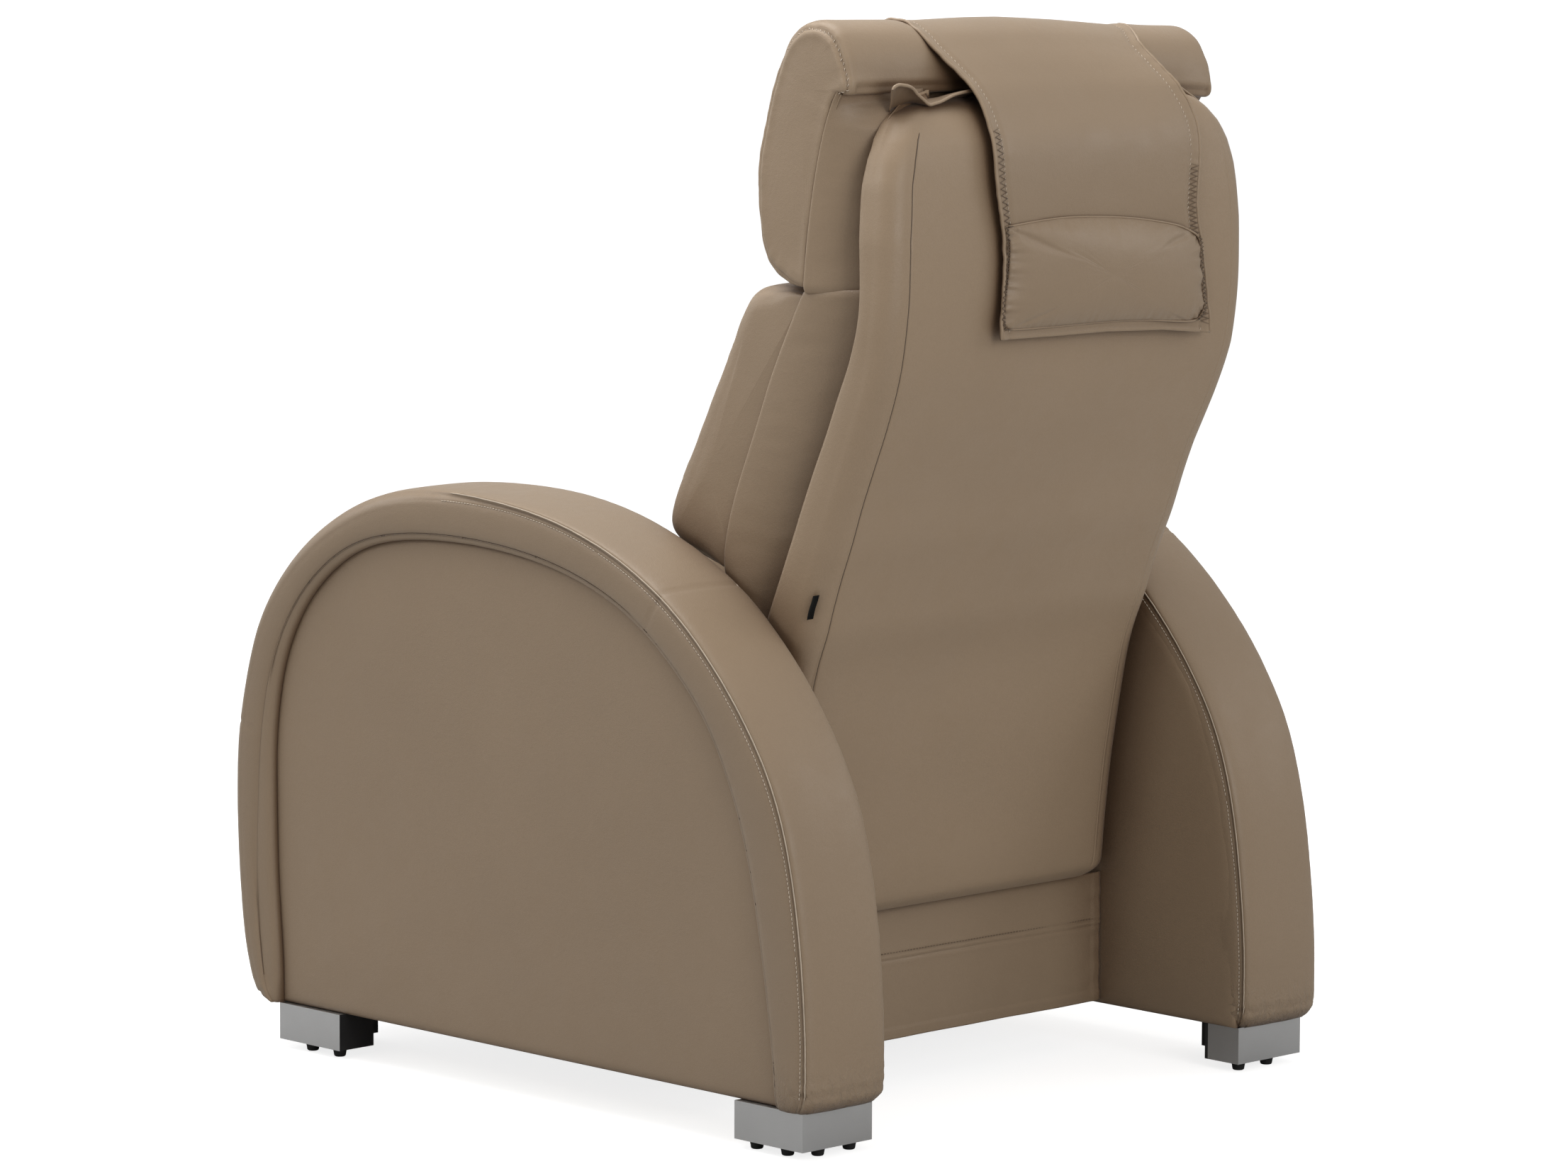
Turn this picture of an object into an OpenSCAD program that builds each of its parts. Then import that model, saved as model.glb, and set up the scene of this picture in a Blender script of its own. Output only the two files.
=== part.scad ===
// Powered massage recliner: padded arms on corner feet, tilting back with
// massage carriage, swing-up leg rest. Front faces -Y, +Z is up.

/* [Overall] */
// Width over the corner feet
feet_w = 776; // [770:1:782]
// Depth over the corner feet
feet_d = 836; // [830:1:842]
// Shift that centres the whole chair on the origin along Y
shift_y = 14.166; // [0:0.001:40]

/* [Arms] */
// Distance of the arm's inner face from the centre plane
arm_in = 279; // [276:0.5:282]
// Distance of the arm's outer face from the centre plane
arm_out = 398; // [392:1:400]
// Height of the arm's underside above the floor
arm_base = 51; // [50:1:52]
// Thickness of the upholstered side panels
panel_t = 14; // [10:1:16]

/* [Feet] */
// Length of each leg of the L-shaped foot
foot_leg = 102; // [95:1:105]
// Width of each leg of the foot
foot_w = 48; // [44:1:50]
// Height of the rubber studs
stud_h = 10; // [8:1:12]

/* [Back] */
// Half width of the back shell
shell_hw = 268; // [260:1:268]
// Thickness of the back shell
shell_t = 14; // [10:1:14]
// Half width of the cushions
cushion_hw = 270; // [260:1:272]
// Lean of the backrest frame from vertical
lean = 21.1; // [20.5:0.1:21.5]
// Height of the recline pivot
piv_z = 360; // [358:1:362]
// Distance of the recline pivot behind the feet's centre
piv_y = 170; // [168:1:172]

/* [Leg rest] */
// Height of the leg rest pivot
leg_z = 335; // [334:0.5:336]
// Thickness of the leg rest pad
leg_pad_t = 66; // [60:1:66]
// Lowest point of the leg rest pad
leg_low = 88; // [80:1:120]

/* [Mechanism] */
// Radius of the massage guide rails
rail_r = 6; // [5:0.5:7]
// Spacing of the guide rails from the centre plane
rail_x = 130; // [120:1:135]
// Radius of the recline pins
pin_r = 8; // [7:0.5:9]
// Radial running clearance of pins and shafts
run_c = 0.06; // [0.03:0.01:0.09]

/* [Hidden] */
$fn = 64;
leg_y = -420;
tan_c = "#8f7b66";
steel = "#6e7276";
black = "#1c1c1c";

// ---- curve helpers ----
// Catmull-Rom curve through the points, n steps a span
function cr(a,b,c,d,t) = 0.5*((2*b)+(c-a)*t+(2*a-5*b+4*c-d)*t*t+(3*b-a-3*c+d)*t*t*t);
function spl(p,n) = let(m=len(p)) concat([for(i=[0:m-2]) let(a=p[max(i-1,0)],b=p[i],c=p[i+1],d=p[min(i+2,m-1)])
  for(k=[0:n-1]) cr(a,b,c,d,k/n)],[p[m-1]]);
function unit(v) = v/norm(v);
// the polyline moved sideways by d, to the left of its direction
function side(p,d) = let(m=len(p)) [for(i=[0:m-1]) let(v=unit(p[min(i+1,m-1)]-p[max(i-1,0)])) p[i]+d*[-v[1],v[0]]];
function rev(p) = [for(i=[len(p)-1:-1:0]) p[i]];

// prism of a Y,Z outline between two X stations
module xp(x0,x1,pts) translate([x0,0,0]) rotate([90,0,90]) linear_extrude(height=x1-x0) polygon(pts);
module bx(x0,x1,y0,y1,z0,z1) translate([x0,y0,z0]) cube([x1-x0,y1-y0,z1-z0]);
module xcyl(x0,x1,y,z,r) translate([x0,y,z]) rotate([0,90,0]) cylinder(h=x1-x0,r=r);
module ycyl(x,y0,y1,z,r) translate([x,y0,z]) rotate([-90,0,0]) cylinder(h=y1-y0,r=r);
module both() { children(); mirror([1,0,0]) children(); }
module place() translate([0,shift_y,0]) children();

// ---- arm outlines, from the front foot over the top to the rear foot ----
arm_o = spl([[-432,51],[-460,60],[-474,85],[-482,140],[-490,240],[-491,310],[-485,370],[-459,467],[-434,510],
  [-396,555],[-350,591],[-295,622],[-234,643],[-170,652],[-95,654],[-20,650],[50,639],[116,620],[168,598],
  [219,570],[269,531],[314,486],[348,443],[378,398],[404,330],[420,250],[429,170],[433,100],[431,66],[420,51]],3);
arm_i = spl([[-418,51],[-420,110],[-427,193],[-429,290],[-429,344],[-422,398],[-409,448],[-381,499],[-350,533],
  [-304,567],[-265,584],[-211,595],[-151,600],[-75,600],[-6,594],[57,583],[119,564],[169,540],[208,513],
  [242,482],[275,448],[302,401],[324,354],[340,299],[352,251],[362,190],[374,120],[380,51]],3);
arm_fit = concat([[-416.5,arm_base+0.3]],side(arm_i,-1.2),[[378,arm_base+0.3]]);
function inset(d) = [for(p=side(arm_i,-d)) if(p[1]>arm_base+16) p];

module arm_band(s) mirror([s,0,0]) xp(arm_in,arm_out,concat(arm_o,rev(arm_i)));
module arm_frame(s) mirror([s,0,0]) color("#b99b6b") {
  c = inset(6);
  f = concat([[-413,68]],c,[[368,68]]);
  difference() {
    xp(arm_in+panel_t+1,arm_out-panel_t-13,f);
    xp(arm_in+panel_t+13,arm_out-panel_t-25,concat([[-380,90]],side(c,-26),[[330,90]]));
  }
}
module outer_panel(s) color(tan_c) mirror([s,0,0]) xp(arm_out-panel_t-12,arm_out-11,arm_fit);
module inner_panel(s) color(tan_c) mirror([s,0,0]) xp(arm_in+1,arm_in+panel_t,arm_fit);
module base_board(s) color("#b99b6b") mirror([s,0,0])
  difference() {
    bx(arm_in+panel_t+1,arm_out-panel_t-13,-412,366,51.2,67);
    for(y=[-1,1],t=[60,88]) translate([352,y*(feet_d/2-t),50]) { cylinder(h=30,r=4.05); translate([0,0,11.9]) cylinder(h=9,r=8); }
  }
// L-shaped corner foot, outer corner at +x,+y
module foot_plan() polygon([[0,0],[0,-foot_leg],[-foot_w,-foot_leg],[-foot_w,-foot_w],[-foot_leg,-foot_w],[-foot_leg,0]]);
module foot(sx,sy) color("#c9cbce") mirror([sx<0?1:0,0,0]) mirror([0,sy<0?1:0,0]) translate([feet_w/2,feet_d/2,stud_h])
  difference() {
    linear_extrude(height=41) foot_plan();
    for(t=[60,88]) translate([-36,-t,-1]) cylinder(h=60,r=4.05);
    translate([-foot_leg-1,-foot_leg-1,-1]) cube([foot_leg-foot_w+3.5,foot_leg-foot_w+3.5,60]);
  }
module at_feet() for(sx=[0,1],sy=[0,1]) mirror([sx,0,0]) mirror([0,sy,0]) translate([feet_w/2,feet_d/2,0]) children();
module foot_liners() color(black) at_feet() difference() {
    translate([-foot_leg,-foot_leg,stud_h]) cube([foot_leg-foot_w+2.4,foot_leg-foot_w+2.4,40]);
    translate([-foot_leg-1,-foot_leg-1,stud_h-1]) cube([foot_leg-foot_w-1,foot_leg-foot_w-1,60]);
  }
module foot_studs() color(black) at_feet() {
  for(t=[38,84]) translate([-16,-t,0]) { cylinder(h=stud_h,r=8); }
  for(t=[38,84]) translate([-t,-16,0]) { cylinder(h=stud_h,r=8); }
}
module foot_bolts() color(steel) at_feet() for(t=[60,88]) translate([-36,-t,0]) {
    translate([0,0,14]) cylinder(h=48,r=4);
    translate([0,0,62]) cylinder(h=4.5,r=7.5);
}

// ---- seat ----
module seat_rails() color(steel) both() {
  difference() {
    bx(256,278.5,-400,152,337,372);
    bx(258.5,276,-401,153,339.5,369.5);
  }
  bx(258.5,276,-300,-270,372,384);
}
module cross_tubes() color(steel) for(q=[[-315,296],[20,302]]) difference() {
    bx(-278.5,278.5,q[0],q[0]+30,q[1],q[1]+30);
    bx(-280,280,q[0]+2.5,q[0]+27.5,q[1]+2.5,q[1]+27.5);
}
// zigzag ribbon along Y
zz = [for(i=[0:22]) [(i%2==0?-16:16), -385+i*21.5]];
module seat_springs() color(steel) for(x=[-180,-90,0,90,180]) translate([x,0,374])
  linear_extrude(height=3) polygon(concat([for(p=zz) p+[-1.6,0]],rev([for(p=zz) p+[1.6,0]])));
seat_pts = spl([[-430,387],[-450,392],[-462,408],[-463,428],[-452,446],[-425,457],[-380,461],[-200,458],[-40,457],[30,456],[44,452],[48,440],[46,400],[38,387]],3);
module seat_cushion() color(tan_c) xp(-270,270,seat_pts);
module front_border() color(tan_c) { bx(-233,233,-405,-391,338,385); bx(-255,255,-405,-391,366,385); }
module dust_cover() color(black) bx(-250,250,-280,15,228,230);

// ---- recline and leg rest hinges ----
module recline_brackets() color(steel) both() difference() {
  union() { xcyl(248,255.5,piv_y,piv_z,20); bx(248,256,60,piv_y-20,piv_z-20,piv_z+12); bx(248,255.5,100,piv_y,piv_z-20,piv_z+12); }
  xcyl(240,260,piv_y,piv_z,pin_r);
}
module recline_pins() color("silver") both() xcyl(224,257,piv_y,piv_z,pin_r);
module leg_brackets() color(steel) both() difference() {
  union() { xcyl(248,255.5,leg_y,leg_z,13); bx(248,255.5,leg_y,-330,leg_z+1,leg_z+13); bx(248,255.5,-390,-330,leg_z-10,leg_z+30); }
  xcyl(240,260,leg_y,leg_z,6);
}
module leg_pins() color("silver") both() xcyl(232,257,leg_y,leg_z,6);

// ---- actuators: gearbox tube, motor can, hanger ----
rec_z = piv_z-100; leg_az = leg_z-60; leg_x = 90;
module actuator(x,z,y0,y1,b0,b1,r) color(black) difference() {
  union() {
    ycyl(x,y0,y1,z,19);
    bx(x-24,x+24,y0,y0+60,z-20,z+20);
    bx(x-14,x+14,-312,-288,z,295.7);
    translate([x+38,y0+30,z]) rotate([-90,0,0]) cylinder(h=110,r=17);
    bx(x+20,x+44,y0+6,y0+54,z-14,z+14);
  }
  ycyl(x,b0,b1,z,r+run_c);
}
module recline_actuator() actuator(0,rec_z,-356,-70,-348,-60,9);
module leg_actuator() actuator(leg_x,leg_az,-312,-90,-330,-98,8);
r_eye_y = piv_y+100*tan(17.5);
module recline_rod() color("silver") {
  ycyl(0,-270,r_eye_y-10,rec_z,9);
  xcyl(-9,9,r_eye_y,rec_z,11);
  xcyl(-23,23,r_eye_y,rec_z,5);
}
l_eye_y = leg_y+60*tan(37.5);
module leg_rod() color("silver") {
  ycyl(leg_x,l_eye_y+8,-110,leg_az,8);
  xcyl(leg_x-8,leg_x+8,l_eye_y,leg_az,9.5);
  xcyl(leg_x-21,leg_x+21,l_eye_y,leg_az,5);
}
module control_box() color(black) { bx(-215,-70,-210,-40,246,294); bx(-160,-130,-40,-10,282,294); bx(-160,-130,-10,32,288,301.7); }
module power_inlet() color(black) difference() { bx(-214,-180,-39.8,-22,256,284); bx(-209,-185,-34,-21,261,279); }

// control plate on the left arm's inner face, with three push-buttons
cp_y = -250; cp_z = 590;
module slab(x0,x1,y,z,w,h,r) translate([x0,y,z]) rotate([90,0,90]) linear_extrude(height=x1-x0) union() {
  square([w-2*r,h],center=true); square([w,h-2*r],center=true);
  for(a=[-1,1],b=[-1,1]) translate([a*(w/2-r),b*(h/2-r)]) circle(r=r); }
module control_panel() color(black) difference() {
  slab(270,arm_in+0.8,-250,520,120,54,10);
  for(i=[-1,0,1]) xcyl(271.5,300,-250+i*34,520,11.5);
  for(i=[-1,0,1]) xcyl(260,300,-250+i*34,520,8.5);
}
module button(i) color("#d8d5cf") { xcyl(267,275,-250+i*34,520,8); xcyl(273.6,275.4,-250+i*34,520,10.8); }

// ---- leg rest ----
ly0 = -402;
module leg_frame() color(steel) {
  difference() {
    union() {
      bx(-246,246,ly0,ly0+5.5,120,312);
      both() { bx(236,246,ly0,ly0+5.5,300,leg_z+10); bx(236,246,leg_y,ly0+5.5,leg_z-12,leg_z+12); xcyl(236,246,leg_y,leg_z,13); }
    }
    both() xcyl(230,250,leg_y,leg_z,6+run_c);
    bx(leg_x-34,leg_x+34,ly0-2,ly0+8,225,306);
  }
  // slotted crank ears beside the rod's eye
  for(s=[-1,1]) difference() {
    xp(leg_x+s*14-4,leg_x+s*14+4,[[-401,283],[-376,250],[-349,271],[-390,324],[-401,324]]);
    xp(leg_x+s*14-5,leg_x+s*14+5,[[-381.6,298.9],[-395.1,288.6],[-374.4,261.6],[-360.9,271.9]]);
  }
}
leg_pts = spl([[ly0-3,leg_low],[-430,leg_low+3],[-456,leg_low+16],[-467,leg_low+50],[-468,200],[-467,270],[-458,300],[-436,314],[ly0-3,317]],3);
module leg_pad() color(tan_c) xp(-264,264,concat([[ly0-0.5,leg_low]],leg_pts,[[ly0-0.5,317]]));

// ---- backrest ----
slope = tan(lean);
shell_r = [[230,205.5],[238,214],[241,228],[244,261],[249,304],[254,341],[260,376],[267,413],[276,457],[286,490],[302,527],
  [312,555],[326,590],[341,624],[357,668],[374,709],[394,757],[412,812],[422,873],[424,930],[422,990],[416,1046],[404,1074],[385,1088],[372,1092]];
shell_f = [[366,1088],[372,1060],[374,1040],[373,989],[376,930],[376,873],[363,825],[345,782],[329,744],[311,705],[292,660],[278,626],[262,591],
  [244,552],[228,515],[216,480],[206,440],[199,400],[194,360],[190,320],[187,280],[185,240],[185,205.5]];
sr = spl(shell_r,2); sf = spl(shell_f,2);
function ins(p,d) = side(p,d);
module rear_outline(e) polygon(concat(
  [[-shell_hw+e+14,190],[-shell_hw+e,206],[-shell_hw+e,880],[-shell_hw+e+2,980],[-shell_hw+e+6,1010],[-shell_hw+e+15,1042],[-shell_hw+e+32,1070],[-shell_hw+e+56,1088],[-shell_hw+e+80,1096]],
  [[shell_hw-e-80,1096],[shell_hw-e-56,1088],[shell_hw-e-32,1070],[shell_hw-e-15,1042],[shell_hw-e-6,1010],[shell_hw-e-2,980],[shell_hw-e,880],[shell_hw-e,206],[shell_hw-e-14,190]]));
module back_shell() color(tan_c) difference() {
  intersection() {
    xp(-shell_hw,shell_hw,concat(sr,sf));
    translate([0,600,0]) rotate([90,0,0]) linear_extrude(height=600) rear_outline(0);
  }
  // hollow, open to the front and below
  intersection() {
    xp(-shell_hw+shell_t,shell_hw-shell_t,concat([[215,195]],[for(p=side(sr,shell_t)) if(p[1]<1074) p],[[340,1074],[340,900],[120,400],[120,195]]));
  }
}
module lean_at(s) translate([0,piv_y,piv_z]) rotate([-lean,0,0]) translate([0,0,s]) children();
module back_frame() color(steel) {
  difference() {
    union() {
      both() lean_at(0) translate([200,-10,0]) cube([20,20,600]);
      both() xcyl(200,246,piv_y,piv_z,18);
      xcyl(-205,205,piv_y,piv_z,12);
      lean_at(35) translate([-205,-4,0]) cube([410,8,24]);
      lean_at(590) translate([-205,-8,-10]) cube([410,16,20]);
      // crank ears, slotted for the rod's cross pin
      for(s=[-1,1]) translate([s*16-4,piv_y,piv_z]) rotate([17.5,0,0]) translate([0,-15,-121]) cube([8,30,118]);
    }
    both() xcyl(221,250,piv_y,piv_z,pin_r+run_c);
    for(s=[-1,1]) translate([s*16-5,piv_y,piv_z]) rotate([17.5,0,0]) translate([0,-7.5,-112]) cube([10,15,20]);
  }
}
lum_r = [[187,590],[184,604],[182,622],[196,668],[225,738],[252,803],[283,864],[297,888]];
lum_f = [[268,896],[226,894],[200,882],[184,860],[166,822],[130,752],[98,690],[80,650],[78,624],[96,604],[140,590],[186,584]];
module lumbar_cushion() color(tan_c) xp(-cushion_hw,cushion_hw,concat(spl(lum_r,2),spl(lum_f,3)));
module lumbar_covers() color(tan_c) both() xp(236,252,[[200,582],[190,590],[187,604],[186,622],[200,668],[229,738],[256,803],[287,864],[302,890],[372,888],[373,872],[360,827],[326,746],[289,662],[259,593],[246,562],[225,570]]);
head_p = [[303,897],[270,899],[243,914],[228,944],[223,985],[225,1030],[237,1080],[252,1122],[268,1152],[292,1169],[322,1172],[347,1160],[362,1136],[367,1112],[364,1101]];
head_b = [[350,1101],[342,1090],[330,1050],[318,1000],[309,945]];
module head_cushion() color(tan_c) xp(-cushion_hw-5,cushion_hw+5,concat(spl(head_p,3),head_b));
module head_covers() color(tan_c) both() xp(236,252,[[305,897],[311,945],[320,1000],[332,1050],[345,1091],[352,1099],[362,1099],[362,1091],[369,1060],[371,1040],[370,989],[373,930],[373,898]]);
module lower_back_pad() color(tan_c) xp(-252,252,[[184,579],[156,500],[133,440],[115,392],[62,392],[58,420],[62,450],[84,520],[104,560],[122,579]]);
// strap laid over the head cushion, front to back
strap_c = spl([[215,1012],[218,1040],[228,1082],[244,1126],[260,1158],[288,1176],[322,1179],[352,1167],[370,1140],[376,1112],[388,1100],[408,1090],[424,1066],[431,1030],[433,980],[432,930],[432,835]],3);
module neck_strap() color(tan_c) xp(-190,140,concat(side(strap_c,2),rev(side(strap_c,-2))));
module neck_pillow() color(tan_c) xp(-165,115,spl([[212,948],[190,946],[158,958],[142,985],[142,1012],[156,1036],[182,1048],[206,1050],[212,1046]],3));
module counterweight() color(tan_c) xp(-178,122,spl([[435.5,846],[446,846],[457,856],[462,880],[463,905],[460,930],[450,948],[440,956],[435.5,956]],3));
module top_flap() color(tan_c) {
  xp(-243,243,[[369,1093],[386,1093],[386,1096],[371,1098]]);
  xp(145,243,[[369,1093],[374,1092],[394,1106],[396,1111],[391,1110],[371,1098]]);
  xp(-243,-193,[[369,1093],[374,1092],[392,1100],[394,1104],[390,1104],[371,1098]]);
}
module side_label() color(black) xp(268.3,270.3,[[306,546],[312,546],[322,572],[315,574]]);

// ---- massage mechanism ----
module guide_rails() color("silver") both() lean_at(0) {
  translate([rail_x,0,70]) cylinder(h=495,r=rail_r);
  difference() { translate([rail_x-14,-11,59]) cube([28,22,30]); translate([rail_x,0,70]) cylinder(h=60,r=rail_r); }
  difference() { translate([rail_x-14,-11,550]) cube([28,22,30]); translate([rail_x,0,540]) cylinder(h=25,r=rail_r); }
}
module screw_motor() color(black) lean_at(0) difference() {
  union() { translate([0,0,59]) cylinder(h=47,r=19); translate([-24,-14,96]) cube([48,28,14]); translate([-24,-14,134.5]) cube([48,18,12]); translate([14,-14,106]) cube([10,10,30]); translate([-24,-14,106]) cube([10,10,30]); }
  translate([0,0,104]) cylinder(h=60,r=5+run_c);
}
module lead_screw() color("silver") lean_at(0) {
  translate([0,0,106]) cylinder(h=452,r=5);
}
cz = 175;
module carriage() color("#444444") lean_at(cz) difference() {
  union() {
    for(s=[-1,1]) translate([s*rail_x-14,-13,0]) cube([28,26,120]);
    translate([-rail_x,-8,0]) cube([2*rail_x,16,14]);
    translate([-rail_x,-8,106]) cube([2*rail_x,16,14]);
    for(s=[-1,1]) translate([s*rail_x-14,-34,46]) cube([28,24,28]);
    translate([-16,-12,0]) cube([32,24,22]);
  }
  for(s=[-1,1]) translate([s*rail_x,0,-5]) cylinder(h=140,r=rail_r+run_c);
  translate([0,0,-5]) cylinder(h=140,r=5+run_c);
  translate([0,-22,60]) rotate([0,90,0]) cylinder(h=400,r=6+run_c,center=true);
}
module kneading_motor() color(black) lean_at(cz) { translate([146,-30,36]) cube([38,36,48]); translate([165,-12,-14]) cylinder(h=50,r=17); translate([144,-12,50]) cube([2.4,16,14]); }
module kneading_shaft() color("silver") lean_at(cz) {
  translate([0,-22,60]) rotate([0,90,0]) cylinder(h=286,r=6,center=true);
  for(s=[-1,1]) {
    translate([s*62-5,-22,60]) rotate([0,90,0]) cylinder(h=10,r=12);
    translate([s*62-5,-22-22,52]) cube([10,22,16]);
    translate([s*62,-44,60]) rotate([0,90,0]) cylinder(h=34,r=4,center=true);
  }
}
module roller(s) color("#dcd2c0") lean_at(cz) translate([s*74,-44,60]) rotate([0,90,0]) difference() {
  cylinder(h=11,r=15,center=true); cylinder(h=20,r=4+run_c,center=true); }

module rear_skirt() color(tan_c) bx(-277.5,277.5,212.5,215.5,55,203.5);

place() arm_frame(0);  // left_arm_frame
place() arm_frame(1);  // right_arm_frame
place() color(tan_c) arm_band(0);  // left_arm_band
place() color(tan_c) arm_band(1);  // right_arm_band
place() outer_panel(0);  // left_outer_panel
place() outer_panel(1);  // right_outer_panel
place() inner_panel(0);  // left_inner_panel
place() inner_panel(1);  // right_inner_panel
place() base_board(0);  // left_base_board
place() base_board(1);  // right_base_board
place() foot(1,-1);  // front_left_foot
place() foot(-1,-1);  // front_right_foot
place() foot(1,1);  // rear_left_foot
place() foot(-1,1);  // rear_right_foot
place() foot_liners();
place() foot_studs();
place() foot_bolts();
place() seat_rails();
place() cross_tubes();
place() seat_springs();
place() seat_cushion();
place() front_border();
place() dust_cover();
place() recline_brackets();
place() recline_pins();
place() leg_brackets();
place() leg_pins();
place() recline_actuator();
place() leg_actuator();
place() control_box();
place() power_inlet();
place() control_panel();
place() recline_rod();
place() leg_rod();
place() leg_frame();
place() leg_pad();
place() back_frame();
place() back_shell();
place() lumbar_covers();
place() head_covers();
place() lumbar_cushion();
place() head_cushion();
place() lower_back_pad();
place() neck_strap();
place() neck_pillow();
place() counterweight();
place() top_flap();
place() side_label();
place() guide_rails();
place() screw_motor();
place() lead_screw();
place() carriage();
place() kneading_motor();
place() kneading_shaft();
place() roller(1);  // left_roller
place() roller(-1);  // right_roller
place() rear_skirt();
place() button(-1);  // power_button
place() button(0);  // recline_button
place() button(1);  // leg_button
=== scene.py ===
import math
import bpy
import bmesh
import numpy as np
from mathutils import Vector, Matrix, noise


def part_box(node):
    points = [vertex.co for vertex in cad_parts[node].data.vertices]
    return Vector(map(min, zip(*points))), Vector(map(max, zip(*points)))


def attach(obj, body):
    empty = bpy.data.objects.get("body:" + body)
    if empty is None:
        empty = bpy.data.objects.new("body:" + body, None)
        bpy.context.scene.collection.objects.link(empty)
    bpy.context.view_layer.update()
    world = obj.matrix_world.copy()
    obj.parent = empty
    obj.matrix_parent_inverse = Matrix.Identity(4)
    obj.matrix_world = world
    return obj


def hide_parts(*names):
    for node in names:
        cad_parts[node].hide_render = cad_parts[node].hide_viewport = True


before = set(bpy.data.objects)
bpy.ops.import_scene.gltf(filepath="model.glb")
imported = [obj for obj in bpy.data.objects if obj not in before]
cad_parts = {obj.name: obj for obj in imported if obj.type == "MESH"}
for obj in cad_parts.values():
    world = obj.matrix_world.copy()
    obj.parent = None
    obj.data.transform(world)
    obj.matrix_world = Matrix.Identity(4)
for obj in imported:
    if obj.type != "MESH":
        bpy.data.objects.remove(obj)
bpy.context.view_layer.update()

SY = 14.166  # mm, the model's shift along Y
SC = bpy.context.scene
RNG = np.random.RandomState(7)
SC.view_settings.view_transform = "Standard"
SC.view_settings.look = "None"


# ------------------------------------------------------------------ camera
def make_camera():
    data = bpy.data.cameras.new("main_camera")
    cam = bpy.data.objects.new("main_camera", data)
    SC.collection.objects.link(cam)
    data.sensor_fit = "HORIZONTAL"
    data.sensor_width = 36.0
    data.lens = 10059.83 / 2212 * 36.0
    az, el, roll = (math.radians(v) for v in (135.63974, 7.66298, 0.250015))
    back = Vector((math.sin(az) * math.cos(el), -math.cos(az) * math.cos(el), math.sin(el)))
    right = (-back).cross(Vector((0, 0, 1))).normalized()
    up = right.cross(-back)
    r2 = math.cos(roll) * right + math.sin(roll) * up
    u2 = -math.sin(roll) * right + math.cos(roll) * up
    loc = Vector((5.479011, 5.607086, 1.578956))
    cam.matrix_world = Matrix(((r2.x, u2.x, back.x, loc.x), (r2.y, u2.y, back.y, loc.y),
                               (r2.z, u2.z, back.z, loc.z), (0, 0, 0, 1)))
    data.clip_start, data.clip_end = 0.1, 60.0
    SC.camera = cam


make_camera()


# ------------------------------------------------------------------ materials
class Nodes:
    def __init__(self, name):
        self.m = bpy.data.materials.new(name)
        self.m.use_nodes = True
        self.t = self.m.node_tree
        self.t.nodes.clear()
        self.out = self.add("ShaderNodeOutputMaterial")
        self.b = self.add("ShaderNodeBsdfPrincipled")
        self.link(self.b, "BSDF", self.out, "Surface")
        self.tc = self.add("ShaderNodeTexCoord")

    def add(self, kind, **props):
        n = self.t.nodes.new(kind)
        for k, v in props.items():
            setattr(n, k, v)
        return n

    def link(self, a, ao, b, bi):
        self.t.links.new(a.outputs[ao], b.inputs[bi])

    def noise(self, scale, detail=3.0, rough=0.55, dist=0.0, stretch=None):
        n = self.add("ShaderNodeTexNoise")
        n.inputs["Scale"].default_value = scale
        n.inputs["Detail"].default_value = detail
        n.inputs["Roughness"].default_value = rough
        n.inputs["Distortion"].default_value = dist
        self.coords(n, stretch)
        return n

    def coords(self, n, stretch=None):
        if stretch is None:
            self.link(self.tc, "Object", n, "Vector")
        else:
            mp = self.add("ShaderNodeMapping")
            mp.inputs["Scale"].default_value = stretch
            self.link(self.tc, "Object", mp, "Vector")
            self.link(mp, "Vector", n, "Vector")

    def ramp(self, src, out, stops):
        r = self.add("ShaderNodeValToRGB")
        e = r.color_ramp.elements
        while len(e) < len(stops):
            e.new(0.5)
        for el, (p, c) in zip(e, stops):
            el.position = p
            el.color = c if len(c) == 4 else (*c, 1)
        self.link(src, out, r, "Fac")
        return r

    def maprange(self, src, out, a, b, c, d):
        r = self.add("ShaderNodeMapRange")
        r.inputs["From Min"].default_value = a
        r.inputs["From Max"].default_value = b
        r.inputs["To Min"].default_value = c
        r.inputs["To Max"].default_value = d
        self.link(src, out, r, "Value")
        return r

    def mix(self, fac, a, b, blend="MIX"):
        m = self.add("ShaderNodeMix", data_type="RGBA", blend_type=blend)
        if isinstance(fac, tuple):
            self.link(fac[0], fac[1], m, 0)
        else:
            m.inputs[0].default_value = fac
        for i, s in ((6, a), (7, b)):
            if isinstance(s, tuple) and hasattr(s[0], "outputs"):
                self.t.links.new(s[0].outputs[s[1]], m.inputs[i])
            else:
                m.inputs[i].default_value = (*s, 1)
        return m

    def bump(self, src, out, strength, distance, prev=None):
        b = self.add("ShaderNodeBump")
        b.inputs["Strength"].default_value = strength
        b.inputs["Distance"].default_value = distance
        self.link(src, out, b, "Height")
        if prev is not None:
            self.link(prev, "Normal", b, "Normal")
        return b


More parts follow.
